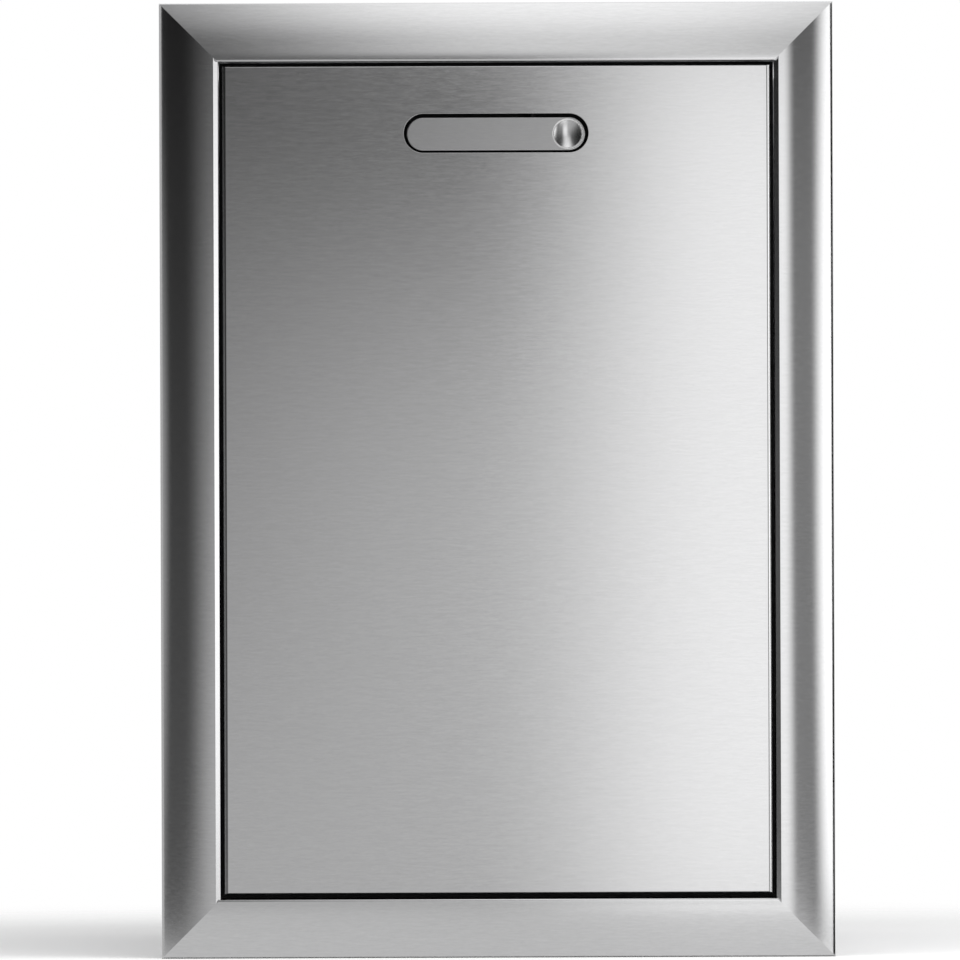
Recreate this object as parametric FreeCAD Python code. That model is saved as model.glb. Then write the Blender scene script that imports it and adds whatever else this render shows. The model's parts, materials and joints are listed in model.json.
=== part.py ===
"""Pull-out trash drawer for an outdoor kitchen, built from separate pieces.

x runs to the right seen from the front, y runs into the island and z runs up. The origin is the middle
of the cut-out's sill, where the wall plane (y = 0) meets the underside of the cabinet floor (z = 0).
The drawer is shut, the handle lies flush and both bins stand on the tray. Sizes are in millimetres.
"""
import FreeCAD, Part
import math
import os

V = FreeCAD.Vector

# Face frame: a folded strip, mitred at the corners
TRIM_WIDTH = 508.0
TRIM_HEIGHT = 720.0
TRIM_FACE = 44.5
TRIM_STAND = 19.0
TRIM_LAND = 3.5
TRIM_EDGE = 5.0
TRIM_SEAT = 12.0
TRIM_BEND = 1.8
JAMB_DEPTH = 30.0
SHEET = 1.2

# Cabinet behind the frame
LAP = 15.0
TOP_LIP = 10.0
STRIP_DEPTH = 34.0
REAR_SPACE = 18.8
MOUNT_HOLE = 5.0
MOUNT_INSET_Y = 60.0
MOUNT_INSET_Z = 60.0

# Rivets and screws
RIVET_SHANK = 3.2
RIVET_HEAD = 7.0
RIVET_CROWN = 1.6
RIVET_ROUND = 1.0
RIVET_INSET = 60.0
SCREW_SHANK = 4.0
SCREW_HEAD = 8.0
SCREW_CROWN = 2.4
SCREW_ROUND = 1.4
SCREW_RECESS = 1.4
SCREW_DRIVE = 3.0
FIT = 0.05

# Drawer front: a folded pan, its liner and the seal behind its edge
REVEAL = 3.0
SILL_REVEAL = 4.0
PANEL_INSET = 1.0
PANEL_DEPTH = 20.0
PANEL_BEND = 1.3
LINER_LIP = 12.0
LINER_SEAM = 0.2
SEAL_THICK = 4.0
SEAL_CLEAR = 0.5
SEAL_TO_CARRIAGE = 2.0

# Flush pull handle and its pocket
HANDLE_LENGTH = 134.5
HANDLE_HEIGHT = 25.0
HANDLE_PLATE = 6.0
HANDLE_GAP = 2.2
HANDLE_DROP = 51.3
HANDLE_RECESS = 1.5
HANDLE_SIT = 0.65
HANDLE_ROUND = 0.6
DISH_EDGE = 1.3
DISH_FROM_END = 13.4
DISH_DEPTH = 3.2
PIVOT_FROM_END = 40.0
PIVOT_ROOM = 0.6
PIN_DIAMETER = 5.0
PIN_HEAD = 8.0
PIN_HEAD_THICK = 1.5
PIN_TAIL = 3.0
CLIP_THICK = 0.8
CLIP_DIAMETER = 9.0
CLIP_GROOVE = 0.5
LUG_WALL = 2.5
LUG_THICK = 5.0
CUP_DEPTH = 38.0
CUP_WALL = 1.5
CUP_CLEAR = 0.6
STUD_DIAMETER = 3.0
STUD_REACH = 7.0
NUT_WIDTH = 5.5
NUT_THICK = 2.4
NUT_ROOM = 1.3
STUD_SPREAD = 92.0
PAD_DIAMETER = 8.0
PAD_THICK = 4.0
PAD_ROUND = 1.0
PAD_FROM_END = 15.0
SPRING_WIRE = 1.0
SPRING_TURNS = 6
SPRING_GAP = 0.5
SPRING_ROOM = 0.4
SPRING_SIDE = 1.0
REST_GAP = 0.3

# Telescopic ball slides
SLIDE_CORE = 20.4
SLIDE_GAUGE = 1.2
SLIDE_LIP = 3.2
SLIDE_SETBACK = 4.0
SLIDE_END = 1.0
SLIDE_RISE = 112.0
SLIDE_KEEP = 15.0
SLIDE_SCREW_INSET = 45.0
BALL_DIAMETER = 4.76
BALL_CLEAR = 0.15
BALL_PITCH = 30.0
RACE_SIDE = 0.92
CAGE_GAUGE = 0.4
CAGE_END = 5.0
CAGE_HOLE = 0.1
RUN_GAP = 0.3
TIP_ROOM = 1.1
TIP_CLEAR = 0.4
LEVER_LENGTH = 64.0
LEVER_WALL = 1.2
LEVER_SETBACK = 90.0
LEVER_STUD = 4.0

# Carriage that carries the bins
CARRIAGE_LIFT = 15.6
SIDE_HEIGHT = 232.0
GUSSET_HEIGHT = 452.0
GUSSET_TOP = 40.0
GUSSET_RUN = 210.0
FRONT_FLANGE = 24.0
FRONT_ROOM = 42.0
FRONT_SCREW_REACH = 9.0

# Bins
BIN_LENGTH = 240.0
BIN_SPACE = 6.0
BIN_CLEAR = 3.0
BIN_SIDE_ROOM = 11.3
BIN_HEADROOM = 54.0
BIN_WALL = 2.5
BIN_RIM = 9.0
BIN_RIM_DROP = 16.0
BIN_TAPER = 16.0
BIN_CORNER = 14.5
BIN_PLAY = 4.0

# Rear buffers
BUFFER_DIAMETER = 22.0
BUFFER_ROUND = 2.8
BUFFER_SPREAD = 240.0

# Face frame and opening
half_trim = TRIM_WIDTH / 2
half_open = half_trim - TRIM_FACE
open_bottom = 2 * SHEET
trim_bottom = open_bottom - TRIM_FACE
trim_top = trim_bottom + TRIM_HEIGHT
open_top = trim_top - TRIM_FACE

# Cabinet walls: the jamb legs lie inside them
wall_in = half_open + SHEET
wall_out = wall_in + SHEET
wall_top = open_top + 2 * SHEET

# Drawer front planes
panel_half = half_open - REVEAL
panel_bottom = open_bottom + SILL_REVEAL
panel_top = open_top - REVEAL
face_y = PANEL_INSET - TRIM_STAND
skin_back = face_y + SHEET
panel_back = face_y + PANEL_DEPTH

# Slide section: distances from the cabinet wall, then half heights
outer_cage_at = SLIDE_GAUGE + TIP_ROOM
middle_at = outer_cage_at + CAGE_GAUGE + RUN_GAP
inner_cage_at = middle_at + SLIDE_GAUGE + RUN_GAP
inner_at = inner_cage_at + CAGE_GAUGE + RUN_GAP
outer_ball_at = outer_cage_at + CAGE_GAUGE + RACE_SIDE + BALL_DIAMETER / 2
inner_ball_at = inner_cage_at + CAGE_GAUGE + RACE_SIDE + BALL_DIAMETER / 2
outer_reach = outer_ball_at + BALL_DIAMETER / 2 + RACE_SIDE + SLIDE_GAUGE
slide_thick = inner_ball_at + BALL_DIAMETER / 2 + RACE_SIDE + SLIDE_GAUGE
middle_reach = slide_thick - SLIDE_GAUGE - RUN_GAP
race = BALL_DIAMETER + 2 * BALL_CLEAR
inner_half = SLIDE_CORE / 2
middle_half = inner_half + race + SLIDE_GAUGE
outer_half = middle_half + race + SLIDE_GAUGE
outer_ball_z = middle_half + race / 2
inner_ball_z = inner_half + race / 2

# Carriage
side_out = wall_in - slide_thick
side_in = side_out - SHEET
tray_bottom = open_bottom + CARRIAGE_LIFT
tray_top = tray_bottom + SHEET
side_top = tray_bottom + SIDE_HEIGHT
gusset_top = tray_bottom + GUSSET_HEIGHT
slide_level = tray_bottom + SLIDE_RISE
carriage_front = panel_back + SHEET
bin_start = panel_back + FRONT_ROOM
bin_end = bin_start + 2 * BIN_LENGTH + BIN_SPACE

# Slides long enough to bring the rear bin out past the frame
slide_start = JAMB_DEPTH + SLIDE_SETBACK
slide_end = bin_end + TRIM_STAND + BIN_CLEAR + slide_start + SLIDE_KEEP
carriage_back = slide_end + SLIDE_END
slide_length = slide_end - slide_start
travel = slide_length - SLIDE_KEEP
cage_length = slide_length - travel / 2 - 2 * CAGE_END
cage_start = slide_start + travel / 4 + CAGE_END

# Cabinet depth
cabinet_depth = carriage_back + REAR_SPACE + SHEET

# Spring round the handle's pin
spring_pitch = SPRING_WIRE + SPRING_GAP
spring_height = SPRING_TURNS * spring_pitch
spring_radius = PIN_DIAMETER / 2 + SPRING_ROOM + SPRING_WIRE / 2
lug_gap = spring_height + SPRING_WIRE + 2 * SPRING_SIDE
pivot_behind = spring_radius + SPRING_WIRE / 2 + PIVOT_ROOM

# Handle places
handle_z = panel_top - HANDLE_DROP
hole_length = HANDLE_LENGTH + 2 * HANDLE_GAP
hole_height = HANDLE_HEIGHT + 2 * HANDLE_GAP
bar_front = face_y + HANDLE_RECESS
bar_back = bar_front + HANDLE_PLATE
bar_z = handle_z - HANDLE_SIT
pivot_x = HANDLE_LENGTH / 2 - PIVOT_FROM_END
pivot_y = bar_back + pivot_behind
dish_x = HANDLE_LENGTH / 2 - DISH_FROM_END
dish_half = HANDLE_HEIGHT / 2 - DISH_EDGE
pad_x = PAD_FROM_END - HANDLE_LENGTH / 2
cup_length = hole_length + 2 * CUP_CLEAR
cup_height = hole_height + 2 * CUP_CLEAR
cup_floor = face_y + CUP_DEPTH
cup_half = cup_height / 2 + CUP_WALL
nut_reach = NUT_WIDTH / math.sqrt(3)
cup_flange = 2 * (nut_reach + NUT_ROOM)
stud_z = cup_half + cup_flange / 2

# Release lever
lever_half = LEVER_STUD / 2 + FIT + LEVER_WALL

# Bins
bin_width = 2 * (side_in - BIN_SIDE_ROOM)
bin_bottom = tray_top + REST_GAP
bin_top = open_top - BIN_HEADROOM
bin_height = bin_top - bin_bottom
bin_fronts = [bin_start, bin_start + BIN_LENGTH + BIN_SPACE]
SIDES = {"left": -1, "right": 1}


def spread(low, high, count):
    """Evenly spaced numbers from low to high."""
    return [low + (high - low) * i / (count - 1) for i in range(count)]


def block(x, y, z):
    """Box from three (low, high) pairs, given in either order."""
    low = V(min(x), min(y), min(z))
    size = V(max(x), max(y), max(z)) - low
    return Part.makeBox(size.x, size.y, size.z, low)


def fused(shapes):
    """One solid from touching or overlapping shapes."""
    return shapes[0].multiFuse(shapes[1:]).removeSplitter()


def prism(points, along):
    """A closed polygon moved along a direction."""
    return Part.Face(Part.makePolygon(points + [points[0]])).extrude(along)


def rod(radius, start, along):
    """Round bar from a point, with the length and direction of along."""
    return Part.makeCylinder(radius, along.Length, start, along)


def stadium(length, height, y_from, y_to, level=handle_z):
    """Flat bar with round ends, lying along x at the handle's height."""
    radius = height / 2
    reach = length / 2 - radius
    depth = V(0, y_to - y_from, 0)
    ends = [rod(radius, V(x, y_from, level), depth) for x in (-reach, reach)]
    middle = block((-reach, reach), (y_from, y_to), (level - radius, level + radius))
    return fused([middle] + ends)


def front_edges(shape, y):
    """Edges that lie in the plane at y."""
    return [e for e in shape.Edges if all(abs(v.Y - y) < 1e-6 for v in e.Vertexes)]


# Fasteners


def rivet_points():
    """(y, z) of the rivets in a cabinet wall, by the sheet that they hold."""
    shelf_z = SHEET + LAP / 2
    back_y = cabinet_depth - SHEET - LAP / 2
    jamb = [(JAMB_DEPTH / 2, z) for z in spread(open_bottom + RIVET_INSET, open_top - RIVET_INSET, 4)]
    floor = [(y, shelf_z) for y in spread(JAMB_DEPTH + RIVET_INSET, back_y - RIVET_INSET, 4)]
    back = [(back_y, z) for z in spread(RIVET_INSET, wall_top - RIVET_INSET, 4)]
    return {"jamb": jamb, "floor": floor, "back": back}


def carriage_rivet_points():
    """(y, z) of the rivets in a carriage side, by the piece that they hold."""
    back_y = carriage_back - SHEET - LAP / 2
    beside_slide = outer_half + RIVET_HEAD
    tray = [(y, tray_top + LAP / 2) for y in spread(slide_start, back_y - RIVET_INSET, 4)]
    rail = [(y, side_top - LAP / 2) for y in spread(slide_start, back_y - RIVET_INSET, 4)]
    rear = [(back_y, slide_level + up * beside_slide) for up in (-1, 1)]
    return {"tray": tray, "rail": rail, "rear": rear}


def slide_screw_points():
    """(y, z) of the screws along a slide."""
    low = slide_start + SLIDE_SCREW_INSET
    high = slide_end - SLIDE_SCREW_INSET
    return [(y, slide_level) for y in spread(low, high, 3)]


def front_screw_points():
    """(x, z) of the screws that hold the drawer front, on the right."""
    x = side_in - FRONT_FLANGE / 2
    low = tray_bottom + RIVET_INSET / 2
    return [(x, z) for z in spread(low, gusset_top - RIVET_INSET / 2, 4)]


def cross_holes(points, radius, side):
    """Drills along x through the walls on one side."""
    reach = half_trim * side
    return [rod(radius, V(0, y, z), V(reach, 0, 0)) for y, z in points]


def drilled(shape, points, shank, side):
    """The shape with clearance holes along x on one side."""
    return shape.cut(cross_holes(points, shank / 2 + FIT, side))


def headed_pin(shank, head, crown, rounding, length, start, along):
    """Fastener with a domed head on start and its shank along a direction."""
    unit = V(along).normalize()
    cap = rod(head / 2, start - unit * crown, unit * crown)
    cap = cap.makeFillet(rounding, front_ring(cap, start - unit * crown))
    return fused([cap, rod(shank / 2, start, unit * length)])


def front_ring(cap, centre):
    """The round edge of a head furthest from the work."""
    return [e for e in cap.Edges if e.Closed and (e.Curve.Center - centre).Length < 1e-6]


def rivet(start, inward):
    """Domed rivet through two sheets."""
    return headed_pin(RIVET_SHANK, RIVET_HEAD, RIVET_CROWN, RIVET_ROUND, 2 * SHEET, start, inward)


def rivets(points, face, side):
    """Rivets along x whose heads sit on the outer face of a wall."""
    return [rivet(V(side * face, y, z), V(-side, 0, 0)) for y, z in points]


def cross_screw(start, inward, length):
    """Pan-head screw with a round drive recess, standing on start."""
    unit = V(inward).normalize()
    screw = headed_pin(SCREW_SHANK, SCREW_HEAD, SCREW_CROWN, SCREW_ROUND, length, start, inward)
    recess = rod(SCREW_DRIVE / 2, start - unit * SCREW_CROWN, unit * SCREW_RECESS)
    return screw.cut(recess)


# Face frame


def trim_section(place):
    """Folded section of a frame member; place turns (outward, y) into a point."""
    front = -TRIM_STAND
    drop = TRIM_STAND - TRIM_EDGE
    run = TRIM_FACE - TRIM_LAND
    radius = (run**2 + drop**2) / (2 * drop)
    inner_outward = TRIM_FACE - SHEET
    outer_bend = TRIM_BEND + SHEET
    half_turn = math.sqrt(0.5)

    def crown(r, outward):
        return front + radius - math.sqrt(r**2 - (outward - TRIM_LAND) ** 2)

    def bend(r):
        return place(outer_bend - r * half_turn, front + outer_bend - r * half_turn)

    def line(a, b):
        return Part.LineSegment(place(*a), place(*b)).toShape()

    def arc(a, middle, b):
        return Part.Arc(place(*a), middle, place(*b)).toShape()

    leg_back, leg_front = (0, JAMB_DEPTH), (0, front + outer_bend)
    land_in, land_out = (outer_bend, front), (TRIM_LAND, front)
    edge_front, edge_back = (TRIM_FACE, -TRIM_EDGE), (TRIM_FACE, 0)
    seat_end, seat_top = (TRIM_FACE - TRIM_SEAT, 0), (TRIM_FACE - TRIM_SEAT, -SHEET)
    hollow_back = (inner_outward, -SHEET)
    hollow_front = (inner_outward, crown(radius - SHEET, inner_outward))
    under_out, under_in = (TRIM_LAND, front + SHEET), (outer_bend, front + SHEET)
    leg_inner_front, leg_inner_back = (SHEET, front + outer_bend), (SHEET, JAMB_DEPTH)
    mid_outward = (TRIM_LAND + TRIM_FACE) / 2
    mid_inner = (TRIM_LAND + inner_outward) / 2
    crown_mid = place(mid_outward, crown(radius, mid_outward))
    under_mid = place(mid_inner, crown(radius - SHEET, mid_inner))
    edges = [
        line(leg_back, leg_front),
        arc(leg_front, bend(outer_bend), land_in),
        line(land_in, land_out),
        arc(land_out, crown_mid, edge_front),
        line(edge_front, edge_back),
        line(edge_back, seat_end),
        line(seat_end, seat_top),
        line(seat_top, hollow_back),
        line(hollow_back, hollow_front),
        arc(hollow_front, under_mid, under_out),
        line(under_out, under_in),
        arc(under_in, bend(TRIM_BEND), leg_inner_front),
        line(leg_inner_front, leg_inner_back),
        line(leg_inner_back, leg_back),
    ]
    return Part.Face(Part.Wire(edges))


def mitre(corners):
    """Prism through the frame's depth that trims a member to its mitred outline."""
    overrun = 1.0
    front = -TRIM_STAND - overrun
    depth = TRIM_STAND + JAMB_DEPTH + 2 * overrun
    return prism([V(x, front, z) for x, z in corners], V(0, depth, 0))


def trim_rail(up):
    """Top (up = 1) or bottom (up = -1) member of the face frame."""
    inner = open_top if up > 0 else open_bottom
    outer = trim_top if up > 0 else trim_bottom
    strip = trim_section(lambda outward, y: V(-half_trim, y, inner + up * outward))
    strip = strip.extrude(V(TRIM_WIDTH, 0, 0))
    corners = [(-half_trim, outer), (half_trim, outer), (half_open, inner), (-half_open, inner)]
    rail = strip.common(mitre(corners))
    return rail.cut(strip_holes()) if up > 0 else rail


def trim_stile(side):
    """Left or right member of the face frame."""
    strip = trim_section(lambda outward, y: V(side * (half_open + outward), y, trim_bottom))
    strip = strip.extrude(V(0, 0, TRIM_HEIGHT))
    outer, inner = side * half_trim, side * half_open
    corners = [(outer, trim_bottom), (outer, trim_top), (inner, open_top), (inner, open_bottom)]
    stile = strip.common(mitre(corners))
    return drilled(stile, rivet_points()["jamb"], RIVET_SHANK, side)


# Cabinet


def cabinet_wall(side):
    """Side wall with a lip along its top, drilled for rivets, slides and the island."""
    sheet = block((side * wall_in, side * wall_out), (0, cabinet_depth - SHEET), (0, wall_top))
    lip_end = side * (wall_in - TOP_LIP)
    lip = block((lip_end, side * wall_in), (STRIP_DEPTH, cabinet_depth - SHEET), (wall_top - SHEET, wall_top))
    wall = fused([sheet, lip])
    for points in rivet_points().values():
        wall = drilled(wall, points, RIVET_SHANK, side)
    wall = drilled(wall, slide_screw_points(), SCREW_SHANK, side)
    return wall.cut(cross_holes(mount_points(), MOUNT_HOLE / 2, side))


def mount_points():
    """(y, z) of the holes for fastening a side wall to the island."""
    ys = (MOUNT_INSET_Y, cabinet_depth - MOUNT_INSET_Y)
    zs = (MOUNT_INSET_Z, wall_top - MOUNT_INSET_Z)
    return [(y, z) for y in ys for z in zs]


def cabinet_floor():
    """Floor sheet with turned-up laps inside the side walls."""
    lap_back = cabinet_depth - SHEET - LAP
    parts = [block((-wall_in, wall_in), (0, cabinet_depth - SHEET), (0, SHEET))]
    for side in SIDES.values():
        lap_x = (side * (wall_in - SHEET), side * wall_in)
        parts.append(block(lap_x, (JAMB_DEPTH, lap_back), (0, SHEET + LAP)))
    floor = fused(parts)
    for side in SIDES.values():
        floor = drilled(floor, rivet_points()["floor"], RIVET_SHANK, side)
    return floor


def cabinet_back():
    """Rear sheet with laps turned forward inside the walls and over the floor."""
    lap_y = (cabinet_depth - SHEET - LAP, cabinet_depth)
    parts = [
        block((-wall_out, wall_out), (cabinet_depth - SHEET, cabinet_depth), (0, wall_top)),
        block((SHEET - wall_in, wall_in - SHEET), lap_y, (SHEET, 2 * SHEET)),
    ]
    for side in SIDES.values():
        lap_x = (side * (wall_in - SHEET), side * wall_in)
        parts.append(block(lap_x, lap_y, (SHEET, wall_top - SHEET)))
    back = fused(parts)
    for side in SIDES.values():
        back = drilled(back, rivet_points()["back"], RIVET_SHANK, side)
    return back


def strip_rivet_xs():
    """Places of the rivets along the strip over the jamb."""
    return spread(RIVET_INSET - wall_in, wall_in - RIVET_INSET, 3)


def strip_holes():
    """Drills along z through the strip and the jamb's top leg."""
    depth = V(0, 0, 4 * SHEET)
    radius = RIVET_SHANK / 2 + FIT
    return [rod(radius, V(x, JAMB_DEPTH / 2, open_top - SHEET), depth) for x in strip_rivet_xs()]


def cabinet_strip():
    """Flat tie across the top of the jamb, between the side walls."""
    strip = block((-wall_in, wall_in), (0, STRIP_DEPTH), (wall_top - SHEET, wall_top))
    return strip.cut(strip_holes())


def cabinet_rivets():
    """Every rivet in the cabinet, as separate solids."""
    made = []
    for side in SIDES.values():
        for points in rivet_points().values():
            made += rivets(points, wall_out, side)
    for x in strip_rivet_xs():
        made.append(rivet(V(x, JAMB_DEPTH / 2, wall_top), V(0, 0, -1)))
    return Part.makeCompound(made)


def rear_buffers():
    """Rubber buffers on the back sheet that stop the shut carriage."""
    length = REAR_SPACE - REST_GAP
    start = cabinet_depth - SHEET
    xs = (-BUFFER_SPREAD / 2, BUFFER_SPREAD / 2)
    made = []
    for x in xs:
        post = rod(BUFFER_DIAMETER / 2, V(x, start, slide_level), V(0, -length, 0))
        made.append(post.makeFillet(BUFFER_ROUND, front_edges(post, start - length)))
    return Part.makeCompound(made)


# Ball slides


def across(side, distance):
    """x of a point at a distance from the cabinet wall, on one side."""
    return side * (wall_in - distance)


def slide_bar(side, outline, start, length):
    """Bar along y from an outline of (distance from wall, height above the slide's middle)."""
    points = [V(across(side, s), start, slide_level + h) for s, h in outline]
    return prism(points, V(0, length, 0))


def channel(web, tip, half, gauge):
    """Outline of a plain channel: its web at one distance and its flange tips at another."""
    inward = gauge if tip > web else -gauge
    return [
        (web, -half),
        (tip, -half),
        (tip, gauge - half),
        (web + inward, gauge - half),
        (web + inward, half - gauge),
        (tip, half - gauge),
        (tip, half),
        (web, half),
    ]


def slide_outer(side):
    """Cabinet member: a channel whose flange tips turn in to hold the balls."""
    outline = channel(0, outer_reach, outer_half, SLIDE_GAUGE)
    lips = [slide_bar(side, lip_outline(up), slide_start, slide_length) for up in (-1, 1)]
    member = fused([slide_bar(side, outline, slide_start, slide_length)] + lips)
    return drilled(member, slide_screw_points(), SCREW_SHANK, side)


def lip_outline(up):
    """Turned-in tip of a cabinet member's flange."""
    root = outer_reach - SLIDE_GAUGE
    high, low = up * outer_half, up * (outer_half - SLIDE_LIP)
    return [(root, low), (outer_reach, low), (outer_reach, high), (root, high)]


def slide_middle(side):
    """Intermediate member, which moves half as far as the drawer."""
    outline = channel(middle_at, middle_reach, middle_half, SLIDE_GAUGE)
    return slide_bar(side, outline, slide_start, slide_length)


def slide_inner(side):
    """Drawer member, with the stud that the release lever turns on."""
    outline = channel(slide_thick, inner_at, inner_half, SLIDE_GAUGE)
    member = slide_bar(side, outline, slide_start, slide_length)
    member = drilled(member, slide_screw_points(), SCREW_SHANK, side)
    stud_length = slide_thick - SLIDE_GAUGE - inner_at - RUN_GAP
    stud = rod(LEVER_STUD / 2, lever_pivot(side), V(side * stud_length, 0, 0))
    return fused([member, stud])


def lever_pivot(side):
    """Foot of the release lever's stud, on the drawer member's web."""
    return V(across(side, slide_thick - SLIDE_GAUGE), slide_start + LEVER_SETBACK, slide_level)


def release_lever(side):
    """Plastic lever inside the drawer member that lets the drawer lift off its slides."""
    foot = lever_pivot(side) + V(side * RUN_GAP, 0, 0)
    thick = V(side * (slide_thick - SLIDE_GAUGE - inner_at - 3 * RUN_GAP), 0, 0)
    tip = foot + V(0, LEVER_LENGTH, 0)
    xs = (foot.x, foot.x + thick.x)
    arm = block(xs, (foot.y, tip.y), (slide_level - lever_half, slide_level + lever_half))
    lever = fused([arm, rod(lever_half, foot, thick), rod(lever_half, tip, thick)])
    return lever.cut(rod(LEVER_STUD / 2 + FIT, foot - thick, thick * 3))


def ball_ys():
    """Places of the balls along a cage."""
    count = int((cage_length - BALL_PITCH) / BALL_PITCH) + 1
    middle = cage_start + cage_length / 2
    return [middle + BALL_PITCH * (i - (count - 1) / 2) for i in range(count)]


def ball_cage(side, web, tip, ball_at, ball_z):
    """Thin channel with a hole for each ball."""
    outline = channel(web, tip, ball_z + CAGE_GAUGE / 2, CAGE_GAUGE)
    cage = slide_bar(side, outline, cage_start, cage_length)
    radius = BALL_DIAMETER / 2 + CAGE_HOLE
    x = across(side, ball_at)
    down = V(0, 0, -2 * outer_half)
    return cage.cut([rod(radius, V(x, y, slide_level + outer_half), down) for y in ball_ys()])


def balls(side, ball_at, ball_z):
    """Two rows of bearing balls, as separate solids."""
    x = across(side, ball_at)
    places = [V(x, y, slide_level + up * ball_z) for y in ball_ys() for up in (-1, 1)]
    return Part.makeCompound([Part.makeSphere(BALL_DIAMETER / 2, place) for place in places])


def outer_cage(side):
    """Cage between the cabinet member and the intermediate member."""
    tip = outer_reach - SLIDE_GAUGE - RUN_GAP
    return ball_cage(side, outer_cage_at, tip, outer_ball_at, outer_ball_z)


def inner_cage(side):
    """Cage between the intermediate member and the drawer member."""
    tip = middle_reach - RUN_GAP
    return ball_cage(side, inner_cage_at, tip, inner_ball_at, inner_ball_z)


def slide_outer_screws():
    """Screws from outside the walls into the cabinet members."""
    length = SHEET + SLIDE_GAUGE + TIP_ROOM - TIP_CLEAR
    return Part.makeCompound([
        cross_screw(V(side * wall_out, y, z), V(-side, 0, 0), length)
        for side in SIDES.values() for y, z in slide_screw_points()
    ])


def slide_inner_screws():
    """Screws from inside the carriage into the drawer members."""
    length = SHEET + 2 * SLIDE_GAUGE
    return Part.makeCompound([
        cross_screw(V(side * side_in, y, z), V(side, 0, 0), length)
        for side in SIDES.values() for y, z in slide_screw_points()
    ])


# Drawer front


def pan(half_x, z_low, z_high, y_front, y_back, bend):
    """Solid slab whose front edges are rounded."""
    slab = block((-half_x, half_x), (y_front, y_back), (z_low, z_high))
    return slab.makeFillet(bend, front_edges(slab, y_front))


def front_panel():
    """Outer skin: a folded pan with the handle's slot."""
    outer = pan(panel_half, panel_bottom, panel_top, face_y, panel_back, PANEL_BEND + SHEET)
    hollow = pan(
        panel_half - SHEET, panel_bottom + SHEET, panel_top - SHEET,
        skin_back, panel_back + SHEET, PANEL_BEND,
    )
    slot = stadium(hole_length, hole_height, face_y - SHEET, skin_back + SHEET)
    return outer.cut(hollow).cut(slot)


def front_liner():
    """Inner skin: a shallow pan of four sheets, with seams above and below the pocket."""
    half = panel_half - SHEET
    low, high = panel_bottom + SHEET, panel_top - SHEET
    outer = block((-half, half), (panel_back - LINER_LIP, panel_back), (low, high))
    hollow = block(
        (SHEET - half, half - SHEET), (panel_back - 2 * LINER_LIP, panel_back - SHEET),
        (low + SHEET, high - SHEET),
    )
    room = 2 * (CUP_WALL + CUP_CLEAR)
    slot = stadium(cup_length + room, cup_height + room, panel_back - 2 * SHEET, panel_back + SHEET)
    past = (panel_back - 2 * LINER_LIP, panel_back + SHEET)
    slot_half = (cup_height + room) / 2
    seams = [
        block((-half, half), past, (handle_z + up * slot_half, handle_z + up * (slot_half + LINER_SEAM)))
        for up in (-1, 1)
    ]
    return outer.cut(hollow).cut([slot] + seams + front_screw_holes())


def front_screw_holes():
    """Drills along y through the carriage's flanges and the liner."""
    radius = SCREW_SHANK / 2 + FIT
    reach = V(0, 4 * SHEET, 0)
    start = panel_back - 2 * SHEET
    return [
        rod(radius, V(side * x, start, z), reach)
        for side in SIDES.values() for x, z in front_screw_points()
    ]


def front_screws():
    """Screws that hold the drawer front to the carriage."""
    return Part.makeCompound([
        cross_screw(V(side * x, carriage_front, z), V(0, -1, 0), FRONT_SCREW_REACH)
        for side in SIDES.values() for x, z in front_screw_points()
    ])


def front_seal():
    """Rubber ring behind the panel's edge that darkens and closes the reveal."""
    half = half_open - SEAL_CLEAR
    width = half - side_out - SEAL_TO_CARRIAGE
    low, high = open_bottom + SEAL_CLEAR, open_top - SEAL_CLEAR
    ys = (panel_back, panel_back + SEAL_THICK)
    ring = block((-half, half), ys, (low, high))
    past = (panel_back - SEAL_THICK, panel_back + 2 * SEAL_THICK)
    return ring.cut(block((width - half, half - width), past, (low + width, high - width)))


# Handle


def pull_handle():
    """Flush bar with a thumb dish at its right end and two lugs behind for the pin."""
    bar = stadium(HANDLE_LENGTH, HANDLE_HEIGHT, bar_front, bar_back, bar_z)
    bar = bar.makeFillet(HANDLE_ROUND, front_edges(bar, bar_front))
    lug_radius = PIN_DIAMETER / 2 + LUG_WALL
    lug_x = (pivot_x - lug_radius, pivot_x + lug_radius)
    parts = [bar]
    for up in (-1, 1):
        root = bar_z + up * lug_gap / 2
        tip = root + up * LUG_THICK
        parts.append(block(lug_x, (bar_back, pivot_y), (root, tip)))
        parts.append(rod(lug_radius, V(pivot_x, pivot_y, root), V(0, 0, up * LUG_THICK)))
    handle = fused(parts)
    dish_radius = (dish_half**2 + DISH_DEPTH**2) / (2 * DISH_DEPTH)
    centre = V(dish_x, bar_front + DISH_DEPTH - dish_radius, bar_z)
    handle = handle.cut(Part.makeSphere(dish_radius, centre))
    reach = lug_gap / 2 + LUG_THICK
    bore = rod(PIN_DIAMETER / 2 + FIT, V(pivot_x, pivot_y, bar_z - reach), V(0, 0, 2 * reach))
    return handle.cut(bore)


def stud_places():
    """(x, z) of the studs that hold the pocket to the panel."""
    xs = (-STUD_SPREAD / 2, STUD_SPREAD / 2)
    return [(x, handle_z + up * stud_z) for x in xs for up in (-1, 1)]


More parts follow.
